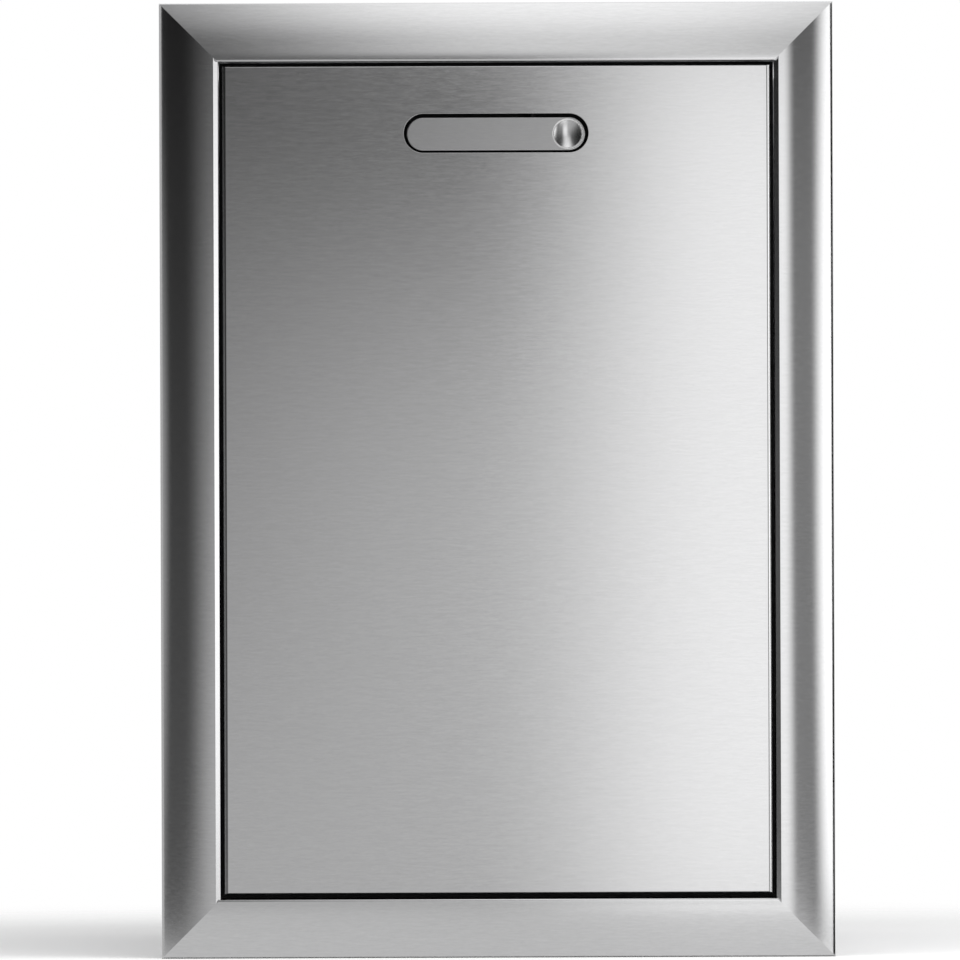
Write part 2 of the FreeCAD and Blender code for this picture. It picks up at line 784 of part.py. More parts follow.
def handle_cup():
    """Pocket behind the handle: a flanged cup with a stop post and bores for the pin."""
    outer_length = cup_length + 2 * CUP_WALL
    shell = stadium(outer_length, 2 * cup_half, skin_back, cup_floor + CUP_WALL)
    flange = stadium(
        outer_length + 2 * cup_flange, 2 * (cup_half + cup_flange), skin_back, skin_back + CUP_WALL
    )
    hollow = stadium(cup_length, cup_height, skin_back - CUP_WALL, cup_floor)
    post_front = bar_back + REST_GAP + PAD_THICK
    post = rod(PAD_DIAMETER / 2, V(pad_x, post_front, handle_z), V(0, cup_floor - post_front, 0))
    cup = fused([fused([shell, flange]).cut(hollow), post])
    pin_bore = rod(PIN_DIAMETER / 2 + FIT, V(pivot_x, pivot_y, handle_z - cup_half), V(0, 0, 2 * cup_half))
    stud_bores = [
        rod(STUD_DIAMETER / 2 + FIT, V(x, skin_back, z), V(0, CUP_WALL, 0)) for x, z in stud_places()
    ]
    return cup.cut([pin_bore] + stud_bores)


def cup_studs():
    """Welded studs behind the panel, each with its nut, as separate solids."""
    made = []
    for x, z in stud_places():
        stud = rod(STUD_DIAMETER / 2, V(x, skin_back, z), V(0, STUD_REACH, 0))
        nut_front = skin_back + CUP_WALL
        turns = [math.radians(60 * i) for i in range(6)]
        corners = [V(x + nut_reach * math.cos(a), nut_front, z + nut_reach * math.sin(a)) for a in turns]
        made.append(fused([stud, prism(corners, V(0, NUT_THICK, 0))]))
    return Part.makeCompound(made)


def groove_top():
    """Height of the upper edge of the pin's groove."""
    return handle_z - cup_half - FIT


def pivot_pin():
    """Handle pin: headed above the pocket, grooved below it for the clip."""
    low = handle_z - cup_half - PIN_TAIL
    high = handle_z + cup_half
    pin = fused([
        rod(PIN_DIAMETER / 2, V(pivot_x, pivot_y, low), V(0, 0, high - low)),
        rod(PIN_HEAD / 2, V(pivot_x, pivot_y, high), V(0, 0, PIN_HEAD_THICK)),
    ])
    return pin.cut(groove_ring(PIN_DIAMETER, CLIP_THICK + 2 * FIT, groove_top()))


def groove_ring(diameter, height, top):
    """Ring round the pin's axis, down to the bottom of the groove."""
    down = V(0, 0, -height)
    start = V(pivot_x, pivot_y, top)
    bottom_radius = PIN_DIAMETER / 2 - CLIP_GROOVE
    return rod(diameter / 2, start, down).cut(rod(bottom_radius, start, down))


def pivot_clip():
    """Open ring that keeps the pin in the pocket."""
    top = groove_top() - FIT
    ring = groove_ring(CLIP_DIAMETER, CLIP_THICK, top)
    half = PIN_DIAMETER / 2 - CLIP_GROOVE
    mouth = block(
        (pivot_x - half, pivot_x + half), (pivot_y, pivot_y + CLIP_DIAMETER), (top - CLIP_THICK, top)
    )
    start = V(pivot_x, pivot_y, top)
    return ring.cut([mouth, rod(half + FIT, start, V(0, 0, -CLIP_THICK))])


def handle_spring():
    """Torsion spring on the pin: one short leg on the bar and one long leg on the pocket's floor."""
    coil = Part.makeHelix(spring_pitch, spring_height, spring_radius)
    tangent = V(0, 2 * math.pi * spring_radius, spring_pitch).normalize()
    start, end = V(spring_radius, 0, 0), V(spring_radius, 0, spring_height)
    room = SPRING_WIRE / 2 + REST_GAP
    short_leg = (pivot_behind - room) / tangent.y
    long_leg = (cup_floor - pivot_y - room) / tangent.y
    foot = start - tangent * short_leg
    first = Part.LineSegment(foot, start).toShape()
    last = Part.LineSegment(end, end + tangent * long_leg).toShape()
    path = Part.Wire([first] + coil.Edges + [last])
    wire = Part.Wire(Part.Circle(foot, tangent, SPRING_WIRE / 2).toShape())
    spring = path.makePipeShell([wire], True, True)
    print("spring: least gap to itself", round(least_gap(path), 2))
    return spring.translated(V(pivot_x, pivot_y, bar_z - spring_height / 2))


def least_gap(path):
    """Least clear distance between stretches of the spring half a turn or more apart."""
    step = SPRING_WIRE / 2
    points = path.discretize(Distance=step)
    apart = int(math.pi * spring_radius / step)
    pairs = ((a, b) for i, a in enumerate(points) for b in points[i + apart:])
    return min((a - b).Length for a, b in pairs) - SPRING_WIRE


def handle_stop_pad():
    """Rubber pad on the post that the bar's left end rests on."""
    pad = rod(PAD_DIAMETER / 2, V(pad_x, bar_back + REST_GAP, handle_z), V(0, PAD_THICK, 0))
    return pad.makeFillet(PAD_ROUND, front_edges(pad, bar_back + REST_GAP))


# Carriage


def carriage_side(side):
    """Side sheet that rises to a gusset at the front, with a flange for the drawer front."""
    outline = [
        (panel_back, tray_bottom),
        (carriage_back, tray_bottom),
        (carriage_back, side_top),
        (panel_back + GUSSET_RUN, side_top),
        (panel_back + GUSSET_TOP, gusset_top),
        (panel_back, gusset_top),
    ]
    sheet = prism([V(side * side_in, y, z) for y, z in outline], V(side * SHEET, 0, 0))
    flange_x = (side * (side_in - FRONT_FLANGE), side * side_in)
    flange = block(flange_x, (panel_back, carriage_front), (tray_bottom, gusset_top))
    plate = fused([sheet, flange])
    for points in carriage_rivet_points().values():
        plate = drilled(plate, points, RIVET_SHANK, side)
    plate = drilled(plate, slide_screw_points(), SCREW_SHANK, side)
    return plate.cut(front_screw_holes())


def carriage_tray():
    """Tray under the bins, with laps turned up inside the sides."""
    ys = (carriage_front, carriage_back - SHEET)
    parts = [block((-side_in, side_in), ys, (tray_bottom, tray_top))]
    for side in SIDES.values():
        lap_x = (side * (side_in - SHEET), side * side_in)
        lap_y = (carriage_front, carriage_back - SHEET - LAP)
        parts.append(block(lap_x, lap_y, (tray_bottom, tray_top + LAP)))
    tray = fused(parts)
    for side in SIDES.values():
        tray = drilled(tray, carriage_rivet_points()["tray"], RIVET_SHANK, side)
    return tray


def carriage_rear():
    """Rear sheet of the carriage, with laps turned forward inside the sides."""
    ys = (carriage_back - SHEET, carriage_back)
    parts = [block((-side_in, side_in), ys, (tray_bottom, side_top))]
    for side in SIDES.values():
        lap_x = (side * (side_in - SHEET), side * side_in)
        lap_y = (carriage_back - SHEET - LAP, carriage_back)
        parts.append(block(lap_x, lap_y, (tray_top, side_top - LAP)))
    rear = fused(parts)
    for side in SIDES.values():
        rear = drilled(rear, carriage_rivet_points()["rear"], RIVET_SHANK, side)
    return rear


def bin_inset(z):
    """How far a bin's wall lies inside its rim at a height."""
    return BIN_RIM + BIN_TAPER * (bin_top - z) / bin_height


def guide_x():
    """Inner edge of the side rails, beside the bins."""
    return bin_width / 2 - bin_inset(side_top) + BIN_PLAY


def side_rail(side):
    """Angle along a carriage side that keeps the bins in line."""
    ys = (carriage_front, carriage_back - SHEET)
    leg_x = (side * (side_in - SHEET), side * side_in)
    shelf = block((side * guide_x(), side * side_in), ys, (side_top - SHEET, side_top))
    rail = fused([shelf, block(leg_x, ys, (side_top - LAP, side_top))])
    return drilled(rail, carriage_rivet_points()["rail"], RIVET_SHANK, side)


def cross_rail(y_front, y_back):
    """Strip between the side rails, stiffened by a rib under its middle."""
    shelf = block((-guide_x(), guide_x()), (y_front, y_back), (side_top - SHEET, side_top))
    middle = (y_front + y_back) / 2
    rib_y = (middle - SHEET / 2, middle + SHEET / 2)
    rib = block((-guide_x(), guide_x()), rib_y, (side_top - LAP, side_top))
    return fused([shelf, rib])


def cross_rail_spans():
    """(front, back) of the three strips before, between and behind the bins."""
    reach = bin_inset(side_top) - BIN_PLAY
    first, second = bin_fronts
    return {
        "front": (carriage_front, first + reach),
        "middle": (first + BIN_LENGTH - reach, second + reach),
        "rear": (second + BIN_LENGTH - reach, carriage_back - SHEET),
    }


def carriage_rivets():
    """Every rivet in the carriage, as separate solids."""
    made = []
    for side in SIDES.values():
        for points in carriage_rivet_points().values():
            made += rivets(points, side_out, side)
    return Part.makeCompound(made)


# Bins


def rounded_outline(half_x, y_front, y_back, corner, z):
    """Closed rectangle with round corners at a height."""
    corners = [(half_x, y_front), (half_x, y_back), (-half_x, y_back), (-half_x, y_front)]
    centres = [
        V(math.copysign(half_x - corner, x), y_front + corner if y == y_front else y_back - corner, z)
        for x, y in corners
    ]
    edges = []
    for turn, centre in zip((-90, 0, 90, 180), centres):
        points = [
            centre + V(corner * math.cos(math.radians(a)), corner * math.sin(math.radians(a)), 0)
            for a in (turn, turn + 45, turn + 90)
        ]
        if edges:
            edges.append(Part.LineSegment(edges[-1].Vertexes[-1].Point, points[0]).toShape())
        edges.append(Part.Arc(*points).toShape())
    edges.append(Part.LineSegment(edges[-1].Vertexes[-1].Point, edges[0].Vertexes[0].Point).toShape())
    return Part.Wire(edges)


def bin_block(y_front, inset_low, inset_high, z_low, z_high):
    """Solid frustum of a bin between two heights; an inset is measured from the rim's outside."""
    wires = []
    for inset, z in ((inset_low, z_low), (inset_high, z_high)):
        half_x = bin_width / 2 - inset
        front, back = y_front + inset, y_front + BIN_LENGTH - inset
        corner = BIN_CORNER + BIN_RIM + BIN_TAPER + BIN_WALL - inset
        wires.append(rounded_outline(half_x, front, back, corner, z))
    return Part.makeLoft(wires, True, True)


def trash_bin(y_front):
    """Tapered plastic bin with a turned-down rim."""
    floor = bin_bottom + BIN_WALL
    lip_low, skirt_low = bin_top - BIN_WALL, bin_top - BIN_RIM_DROP
    outside = bin_block(y_front, BIN_RIM + BIN_TAPER, BIN_RIM, bin_bottom, bin_top)
    lip = bin_block(y_front, 0, 0, lip_low, bin_top)
    skirt = bin_block(y_front, 0, 0, skirt_low, bin_top)
    skirt = skirt.cut(bin_block(y_front, BIN_WALL, BIN_WALL, skirt_low, bin_top))
    inset_floor = bin_inset(floor) + BIN_WALL
    hollow = bin_block(y_front, inset_floor, BIN_RIM + BIN_WALL, floor, bin_top)
    return fused([outside, lip, skirt]).cut(hollow)


def pieces():
    """Every piece by its name."""
    made = {
        "trim_top_rail": trim_rail(1),
        "trim_bottom_rail": trim_rail(-1),
        "cabinet_floor": cabinet_floor(),
        "cabinet_back": cabinet_back(),
        "cabinet_top_strip": cabinet_strip(),
        "cabinet_rivets": cabinet_rivets(),
        "rear_buffers": rear_buffers(),
        "slide_outer_screws": slide_outer_screws(),
        "slide_inner_screws": slide_inner_screws(),
        "front_panel": front_panel(),
        "front_liner": front_liner(),
        "front_seal": front_seal(),
        "front_screws": front_screws(),
        "pull_handle": pull_handle(),
        "handle_cup": handle_cup(),
        "cup_studs": cup_studs(),
        "pivot_pin": pivot_pin(),
        "pivot_clip": pivot_clip(),
        "handle_spring": handle_spring(),
        "handle_stop_pad": handle_stop_pad(),
        "carriage_tray": carriage_tray(),
        "carriage_rear": carriage_rear(),
        "carriage_rivets": carriage_rivets(),
        "front_bin": trash_bin(bin_fronts[0]),
        "rear_bin": trash_bin(bin_fronts[1]),
    }
    for name, span in cross_rail_spans().items():
        made[f"bin_rail_{name}"] = cross_rail(*span)
    for name, side in SIDES.items():
        made[f"trim_{name}_stile"] = trim_stile(side)
        made[f"cabinet_{name}_wall"] = cabinet_wall(side)
        made[f"carriage_{name}_side"] = carriage_side(side)
        made[f"bin_rail_{name}"] = side_rail(side)
        made[f"{name}_slide_outer"] = slide_outer(side)
        made[f"{name}_slide_middle"] = slide_middle(side)
        made[f"{name}_slide_inner"] = slide_inner(side)
        made[f"{name}_release_lever"] = release_lever(side)
        made[f"{name}_outer_cage"] = outer_cage(side)
        made[f"{name}_inner_cage"] = inner_cage(side)
        made[f"{name}_outer_balls"] = balls(side, outer_ball_at, outer_ball_z)
        made[f"{name}_inner_balls"] = balls(side, inner_ball_at, inner_ball_z)
    return made


def main():
    os.makedirs("parts", exist_ok=True)
    for name, shape in pieces().items():
        solids = shape.Solids
        valid = shape.isValid() and all(s.Volume > 0 for s in solids)
        print(name, "solids", len(solids), "volume", round(shape.Volume, 1), "" if valid else "NOT VALID")
        shape.exportStep(f"parts/{name}.step")


if __name__ == "__main__":
    main()
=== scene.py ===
"""Looks of a pull-out trash drawer: its folded steel front, pull, bins, spring, finishes and stage."""

import json
import math
from contextlib import contextmanager

import bmesh
import bpy
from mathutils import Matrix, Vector


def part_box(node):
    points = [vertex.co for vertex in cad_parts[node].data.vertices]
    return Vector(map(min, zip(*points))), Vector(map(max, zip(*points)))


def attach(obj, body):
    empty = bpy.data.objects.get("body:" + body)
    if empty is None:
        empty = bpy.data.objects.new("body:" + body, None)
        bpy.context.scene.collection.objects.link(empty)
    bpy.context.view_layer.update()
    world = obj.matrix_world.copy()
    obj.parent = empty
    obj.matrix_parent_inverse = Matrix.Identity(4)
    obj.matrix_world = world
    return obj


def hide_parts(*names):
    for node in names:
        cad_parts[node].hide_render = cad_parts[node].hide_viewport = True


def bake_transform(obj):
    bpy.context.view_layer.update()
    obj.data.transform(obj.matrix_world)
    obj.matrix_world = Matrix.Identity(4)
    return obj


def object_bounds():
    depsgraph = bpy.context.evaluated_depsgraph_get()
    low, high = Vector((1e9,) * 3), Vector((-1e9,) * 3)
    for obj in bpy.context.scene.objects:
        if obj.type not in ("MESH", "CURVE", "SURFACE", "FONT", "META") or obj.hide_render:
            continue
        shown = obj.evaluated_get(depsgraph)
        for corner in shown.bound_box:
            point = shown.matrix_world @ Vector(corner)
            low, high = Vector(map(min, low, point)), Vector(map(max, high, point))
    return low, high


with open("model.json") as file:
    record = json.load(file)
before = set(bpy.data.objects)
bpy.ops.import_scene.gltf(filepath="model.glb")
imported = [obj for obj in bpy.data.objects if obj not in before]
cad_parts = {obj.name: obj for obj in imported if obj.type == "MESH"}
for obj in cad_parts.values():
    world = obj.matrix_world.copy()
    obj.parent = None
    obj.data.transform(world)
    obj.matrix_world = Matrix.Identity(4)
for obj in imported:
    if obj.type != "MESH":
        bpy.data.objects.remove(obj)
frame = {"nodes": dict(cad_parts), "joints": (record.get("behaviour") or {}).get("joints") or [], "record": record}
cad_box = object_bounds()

bl_info = {
    "name": "Pull-out trash drawer looks",
    "version": (1, 0, 0),
    "blender": (4, 5, 0),
    "location": "3D View > Sidebar > Trash drawer",
    "description": "Models the visible steel, bins and finishes of a pull-out trash drawer",
    "category": "Object",
}

QUARTER = math.pi / 2

# Places closer than TINY count as one, and a corner within NEAR of a curve lies on it, in metres
TINY = 2e-6
NEAR = 4e-5

# Furthest that a piece's box may lie from its CAD node's box, in metres
FIT = 0.0006
BIN_FIT = 0.001

# Edges that turn by more than this stay sharp, in degrees
CREASE = 30.0
SPRING_CREASE = 40.0
BIN_CREASE = 50.0

# Flat steps or sides that stand for a round shape
CROWN_STEPS = 32
RAIL_FOLD_STEPS = 12
STILE_FOLD_STEPS = 1
OUTER_EDGE_STEPS = 4
FRONT_FOLD_STEPS = 10
SLOT_EDGE_STEPS = 2
BAR_EDGE_STEPS = 6
DISH_LIP_STEPS = 4
BIN_CORNER_STEPS = 10
BIN_FLOOR_STEPS = 4
BIN_LIP_STEPS = 3
COIL_STEPS = 32
WIRE_SIDES = 12
PILL_SIDES = 128
ROD_SIDES = 64
DISH_SIDES = 96
DISH_RINGS = 160
FLOOR_SIDES = 96
TENT_SIDES = 96
TENT_RINGS = 48

# Places read from the frame

BODY_OF = {node: body for body, nodes in frame["record"]["behaviour"]["bodies"].items() for node in nodes}
SLOT_OF = {part["node"]: part["material_slot"] for part in frame["record"]["subparts"]}
TRIM_LOW, TRIM_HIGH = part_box("trim_left_stile")
TRIM_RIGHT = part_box("trim_right_stile")[1].x
TRIM_MIDDLE = (TRIM_LOW.z + TRIM_HIGH.z) / 2
PANEL_LOW, PANEL_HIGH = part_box("front_panel")
BAR_LOW, BAR_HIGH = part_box("pull_handle")
CUP_LOW, CUP_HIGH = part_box("handle_cup")
SPRING_LOW, SPRING_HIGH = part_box("handle_spring")
HANDLE_PIVOT = Vector(next(j["pos_m"] for j in frame["joints"] if j["name"] == "handle_pivot"))


# Settings


def length(name, description, default):
    """A size in metres that a user may change."""
    return bpy.props.FloatProperty(
        name=name, description=description, default=default, min=0.0, precision=5, unit="LENGTH",
    )


def colour(name, description, default):
    """A base colour that a user may change."""
    return bpy.props.FloatVectorProperty(
        name=name, description=description, default=default, min=0.0, max=1.0, size=3, subtype="COLOR",
    )


def share(name, description, default):
    """A plain number from 0 to 1."""
    return bpy.props.FloatProperty(
        name=name, description=description, default=default, min=0.0, max=1.0, subtype="FACTOR",
    )


def power(name, description, default):
    """A lamp's power in watts."""
    return bpy.props.FloatProperty(
        name=name, description=description, default=default, min=0.0, unit="POWER",
    )


class FaceFrameSizes(bpy.types.PropertyGroup):
    """Section of the four mitred members of the face frame."""

    width: length("Member width", "From the opening to the outer edge", 0.0445)
    stile_land: length("Stile land", "Flat strip between a stile's broken edge and its crown", 0.0015)
    rail_land: length("Rail land", "Flat strip between a rail's fold and its crown", 0.0003)
    edge: length("Edge height", "Straight outer edge between the crown and the wall", 0.005)
    seat: length("Seat", "Width of the flange that lies on the wall", 0.012)
    stile_bend: length("Stile edge", "Width of the flat broken edge at the opening's sides", 0.0034)
    stile_slope: share("Stile slope", "Depth of a stile's broken edge, as a share of its width", 0.74)
    rail_bend: length("Rail bend", "Width of the rounded fold at the opening's top and bottom", 0.0018)
    rail_slope: share("Rail slope", "Depth of a rail's fold, as a share of its width", 0.7)
    sheet: length("Sheet", "Thickness of the steel", 0.0012)
    edge_round: length("Edge round", "Width of the rounded fold at the outer edge", 0.0018)


class DrawerFrontSizes(bpy.types.PropertyGroup):
    """Folded pan of the drawer front."""

    bend: length("Side bend", "Width of the folds at the front's sides", 0.0030)
    end_bend: share("End bend", "Width of the folds at top and bottom, as a share of the side bend", 0.45)
    bend_shape: share("Bend shape", "Shape of the folds, from flat at 0.25 to round at 0.5", 0.35)
    sheet: length("Sheet", "Thickness of the steel", 0.0012)
    slot_length: length("Slot length", "Length of the slot for the pull", 0.1389)
    slot_height: length("Slot height", "Height of the slot for the pull", 0.0294)
    slot_edge: length("Slot edge", "Broken edge round the slot", 0.0003)


class PullSizes(bpy.types.PropertyGroup):
    """Flush swinging bar with its thumb dish, and the spring behind it."""

    plate: length("Plate", "Thickness of the bar", 0.006)
    edge_round: length("Edge round", "Radius round the bar's front", 0.0007)
    dish_edge: length("Dish edge", "Metal left above and below the dish", 0.0021)
    dish_from_end: length("Dish place", "From the bar's end to the dish's middle", 0.0134)
    dish_depth: length("Dish depth", "Depth of the thumb dish", 0.0033)
    dish_lip: length("Dish lip", "Half the width of the rounded lip round the dish", 0.0011)
    lug_gap: length("Lug gap", "Space between the two lugs", 0.012)
    lug_wall: length("Lug wall", "Metal round the pin", 0.0025)
    pin: length("Pin", "Diameter of the pivot pin", 0.005)
    wire: length("Spring wire", "Diameter of the spring's wire", 0.001)
    coil: length("Spring coil", "Radius of the coil's middle line", 0.0034)
    pitch: length("Spring pitch", "Rise of one turn", 0.0015)
    turns: bpy.props.IntProperty(name="Spring turns", description="Turns of the coil", default=6, min=1)


class BinSizes(bpy.types.PropertyGroup):
    """Moulded lift-out bins."""

    wall: length("Wall", "Thickness of the plastic", 0.0025)
    rim: length("Rim", "Width of the turned-out rim", 0.009)
    rim_drop: length("Rim drop", "Height of the rim's skirt", 0.016)
    taper: length("Taper", "How far the floor lies inside the mouth", 0.016)
    corner: length("Corner", "Corner radius of the rim, seen from above", 0.042)
    lip_round: length("Lip round", "Radius along the lip", 0.0012)
    floor_round: length("Floor round", "Radius round the floor", 0.006)


class FinishColours(bpy.types.PropertyGroup):
    """Base colours of the finishes, the lip's paler colour a painted highlight and the rubber's and coating's
    darkness partly painted shade, and the brushing of the steel.
    """

    stainless: colour("Brushed stainless", "Face frame, drawer front and thumb dish", (0.70, 0.70, 0.705))
    pull: colour("Pull", "Bar of the pull", (0.60, 0.60, 0.605))
    # The lip's paler colour is a painted highlight: the same steel made brighter so that the rim reads as a bright
    # ring
    lip: colour("Dish lip", "Lip round the thumb dish", (0.93, 0.93, 0.93))
    sheet: colour("Plain stainless", "Cabinet, inner skin and carriage", (0.60, 0.605, 0.615))
    zinc: colour("Zinc", "Ball slides", (0.66, 0.67, 0.69))
    bright: colour("Bright steel", "Fasteners, pin, spring and balls", (0.75, 0.75, 0.76))
    # Black rubber, darkened further: partly its own colour, partly painted shade in the gaps round the front
    rubber: colour("Rubber", "Seal, buffers and stop pad", (0.011, 0.011, 0.012))
    lever: colour("Lever plastic", "Release levers", (0.025, 0.025, 0.027))
    bin: colour("Bin plastic", "Bins", (0.16, 0.165, 0.17))
    # Near-black coating: partly its own colour, partly painted shade in the gap round the pull
    cup: colour("Black coating", "Pocket behind the pull", (0.012, 0.012, 0.013))
    brushing: share("Brushing", "How far the brushing stretches reflections", 0.45)
    roughness: share("Brushed roughness", "Mean roughness of the brushed steel", 0.17)
    pull_brushing: share("Pull brushing", "How far the brushing stretches the pull's reflections", 0.7)
    pull_roughness: share("Pull roughness", "Mean roughness of the pull", 0.30)
    dish_brushing: share("Dish brushing", "How far the brushing stretches the dish's reflections", 1.0)
    dish_roughness: share("Dish roughness", "Mean roughness of the thumb dish", 0.22)


class StageSettings(bpy.types.PropertyGroup):
    """Camera, floor and light."""

    distance: length("Camera distance", "From the wall's plane to the camera", 12.0)
    view_width: length("View width", "Width of the view at the wall's plane", 0.724)
    aim_x: bpy.props.FloatProperty(
        name="Aim across", description="Middle of the view, across", default=-0.013, unit="LENGTH",
    )
    aim_z: length("Aim height", "Middle of the view, upwards", TRIM_MIDDLE)
    roll: bpy.props.FloatProperty(
        name="Camera roll", description="Turn of the camera about its line of sight",
        default=math.radians(0.20), subtype="ANGLE",
    )
    floor: colour("Floor", "Colour of the floor", (0.95, 0.95, 0.95))
    floor_roughness: share("Floor roughness", "Roughness of the floor", 0.9)
    floor_radius: length("Floor radius", "Radius of the floor's disc", 6.0)
    floor_full: length("Floor full", "From the drawer's middle to where the floor starts to fade", 0.45)
    floor_gone: length("Floor gone", "From the drawer's middle to where the floor has faded out", 1.3)
    tent_radius: length("Tent radius", "Radius of the light tent that the steel mirrors", 1.15)
    tent_set_back: length("Tent set-back", "From the wall's plane back to the tent's middle", 0.1)
    tent_reach: length("Tent reach", "From the tent's middle back to its open edge", 0.2)
    tent_lift: length("Tent lift", "From the floor up to the tent's ground", 0.001)
    flag_gap: length("Flag gap", "From a stile to the flag beside it", 0.016)
    flag_set_back: length("Flag set-back", "From the frame's front to the flags' front edges", 0.0078)
    # The flags show only in reflections: a painted dark reflection on the right stile's edge, and a dim grey glow
    # on the left that paints the reflection of shade
    black_flag: length("Black flag", "Depth of the black flag on the right", 0.0175)
    grey_flag: length("Grey flag", "Depth of the grey flag on the left", 0.040)
    grey_level: share("Grey level", "Brightness of the grey flag", 0.55)
    overhead_power: power("Overhead lamp", "Power of the soft lamp above", 30.0)
    side_power: power("Side lamp", "Power of the soft lamp on the right", 12.0)
    fill: share("Fill", "Strength of the world's light on matte surfaces", 0.62)


class DrawerLooks(bpy.types.PropertyGroup):
    """All settings of the dressed drawer."""

    face_frame: bpy.props.PointerProperty(type=FaceFrameSizes)
    front: bpy.props.PointerProperty(type=DrawerFrontSizes)
    pull: bpy.props.PointerProperty(type=PullSizes)
    bins: bpy.props.PointerProperty(type=BinSizes)
    finishes: bpy.props.PointerProperty(type=FinishColours)
    stage: bpy.props.PointerProperty(type=StageSettings)


# Modelling steps


def only(piece):
    """Selects one object and makes it active."""
    bpy.ops.object.select_all(action="DESELECT")
    piece.select_set(True)
    bpy.context.view_layer.objects.active = piece


@contextmanager
def editing(piece):
    """Edit mode on one piece."""
    only(piece)
    bpy.ops.object.mode_set(mode="EDIT")
    yield
    bpy.ops.object.mode_set(mode="OBJECT")


def settle(piece):
    """Puts an object's place, turn and scale into its mesh."""
    only(piece)
    bpy.ops.object.transform_apply(location=True, rotation=True, scale=True)


def choose(kind, wanted):
    """Selects the vertices, edges or faces that the test accepts, in edit mode."""
    bpy.ops.mesh.select_mode(type=kind)
    bpy.ops.mesh.select_all(action="DESELECT")
    data = bpy.context.edit_object.data
    mesh = bmesh.from_edit_mesh(data)
    for part in {"VERT": mesh.verts, "EDGE": mesh.edges, "FACE": mesh.faces}[kind]:
        if wanted(part):
            part.select_set(True)
    mesh.select_flush_mode()
    bmesh.update_edit_mesh(data)


def lies_at(part, **places):
    """Whether every corner of an edge or face lies at these coordinates."""
    corners = [corner.co for corner in part.verts]
    return all(abs(getattr(co, axis) - place) < TINY for co in corners for axis, place in places.items())


def extrude(x=0.0, y=0.0, z=0.0):
    """Extrudes what is selected and moves it."""
    bpy.ops.mesh.extrude_region_move(TRANSFORM_OT_translate={"value": (x, y, z)})


def apply_modifier(piece, kind, **values):
    """Adds a modifier to a piece and applies it."""
    only(piece)
    modifier = piece.modifiers.new(kind.title(), kind)
    for name, value in values.items():
        setattr(modifier, name, value)
    bpy.ops.object.modifier_apply(modifier=modifier.name)


def combine(piece, tool, operation):
    """Cuts a tool's shape from a piece, or joins it on, and removes the tool."""
    apply_modifier(piece, "BOOLEAN", object=tool, operation=operation, solver="EXACT")
    bpy.data.meshes.remove(tool.data)


def face_out():
    """Turns all faces of the edited mesh outwards."""
    bpy.ops.mesh.select_all(action="SELECT")
    bpy.ops.mesh.normals_make_consistent(inside=False)


def point_sheet(piece, way):
    """Turns an open sheet over if its face that lies furthest a way doesn't point that way."""
    furthest = max(piece.data.polygons, key=lambda face: face.center.dot(way))
    if furthest.normal.dot(way) < 0:
        with editing(piece):
            bpy.ops.mesh.select_all(action="SELECT")
            bpy.ops.mesh.flip_normals()


def pill(length_x, height, level, y_from, y_to):
    """A solid with straight long sides and round ends, lying along X."""
    bpy.ops.mesh.primitive_circle_add(
        vertices=PILL_SIDES, radius=height / 2, fill_type="NGON",
        location=(0, y_from, level), rotation=(QUARTER, 0, 0),
    )
    piece = bpy.context.object
    settle(piece)
    with editing(piece):
        for side in (-1, 1):
            choose("VERT", lambda corner: side * corner.co.x > TINY)
            bpy.ops.transform.translate(value=(side * (length_x - height) / 2, 0, 0))
        bpy.ops.mesh.select_all(action="SELECT")
        extrude(y=y_to - y_from)
        face_out()
    return piece


def rod(radius, centre, depth):
    """A round bar along Z."""
    bpy.ops.mesh.primitive_cylinder_add(vertices=ROD_SIDES, radius=radius, depth=depth, location=centre)
    piece = bpy.context.object
    settle(piece)
    return piece


def box_of(piece):
    """Lowest and highest corner of a piece's mesh."""
    corners = [corner.co for corner in piece.data.vertices]
    low = Vector([min(co[axis] for co in corners) for axis in range(3)])
    high = Vector([max(co[axis] for co in corners) for axis in range(3)])
    return low, high


def dress(piece, name, slot, crease):
    """Names a piece, shades it smooth between its creases and gives it the finish of its slot."""
    piece.name = name
    piece.data.name = name
    only(piece)
    bpy.ops.object.shade_smooth_by_angle(angle=math.radians(crease))
    piece.data.materials.clear()
    piece.data.materials.append(finish(slot))


def hand_over(piece, name, node, crease=CREASE, fit=FIT):
    """Dresses a piece, gives it a UV map, checks that it lies where its CAD node lies, hides that node and ties
    the piece to the body that it belongs to.
    """
    dress(piece, name, SLOT_OF[node], crease)
    with editing(piece):
        bpy.ops.mesh.select_all(action="SELECT")
        bpy.ops.uv.cube_project(cube_size=1.0)
    apply_modifier(piece, "WEIGHTED_NORMAL", weight=100, keep_sharp=True)
    for made, wanted in zip(box_of(piece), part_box(node)):
        if (made - wanted).length > fit:
            raise RuntimeError(f"{name} is not where {node} is: {tuple(made)} against {tuple(wanted)}")
    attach(piece, BODY_OF[node])
    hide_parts(node)


# Finishes

FINISH_NAME = "{}_finish"

# Range in which most of the noise lies
NOISE_LOW = 0.3
NOISE_HIGH = 0.7

# Depth of fine marks in a surface, in metres
MARK_DEPTH = 0.0001

# How far the roughness of brushed steel strays from its mean
BRUSHED_SPREAD = 0.02


def add(tree, kind, sockets=None, **settings):
    """Adds a shader node; a socket takes a number or another node's output."""
    node = tree.nodes.new("ShaderNode" + kind)
    for name, value in settings.items():
        setattr(node, name, value)
    for name, value in (sockets or {}).items():
        if isinstance(value, bpy.types.NodeSocket):
            tree.links.new(value, node.inputs[name])
        else:
            node.inputs[name].default_value = value
    return node


def calculate(tree, operation, first, second):
    """The result of a sum with two numbers or sockets."""
    return add(tree, "Math", {0: first, 1: second}, operation=operation).outputs["Value"]


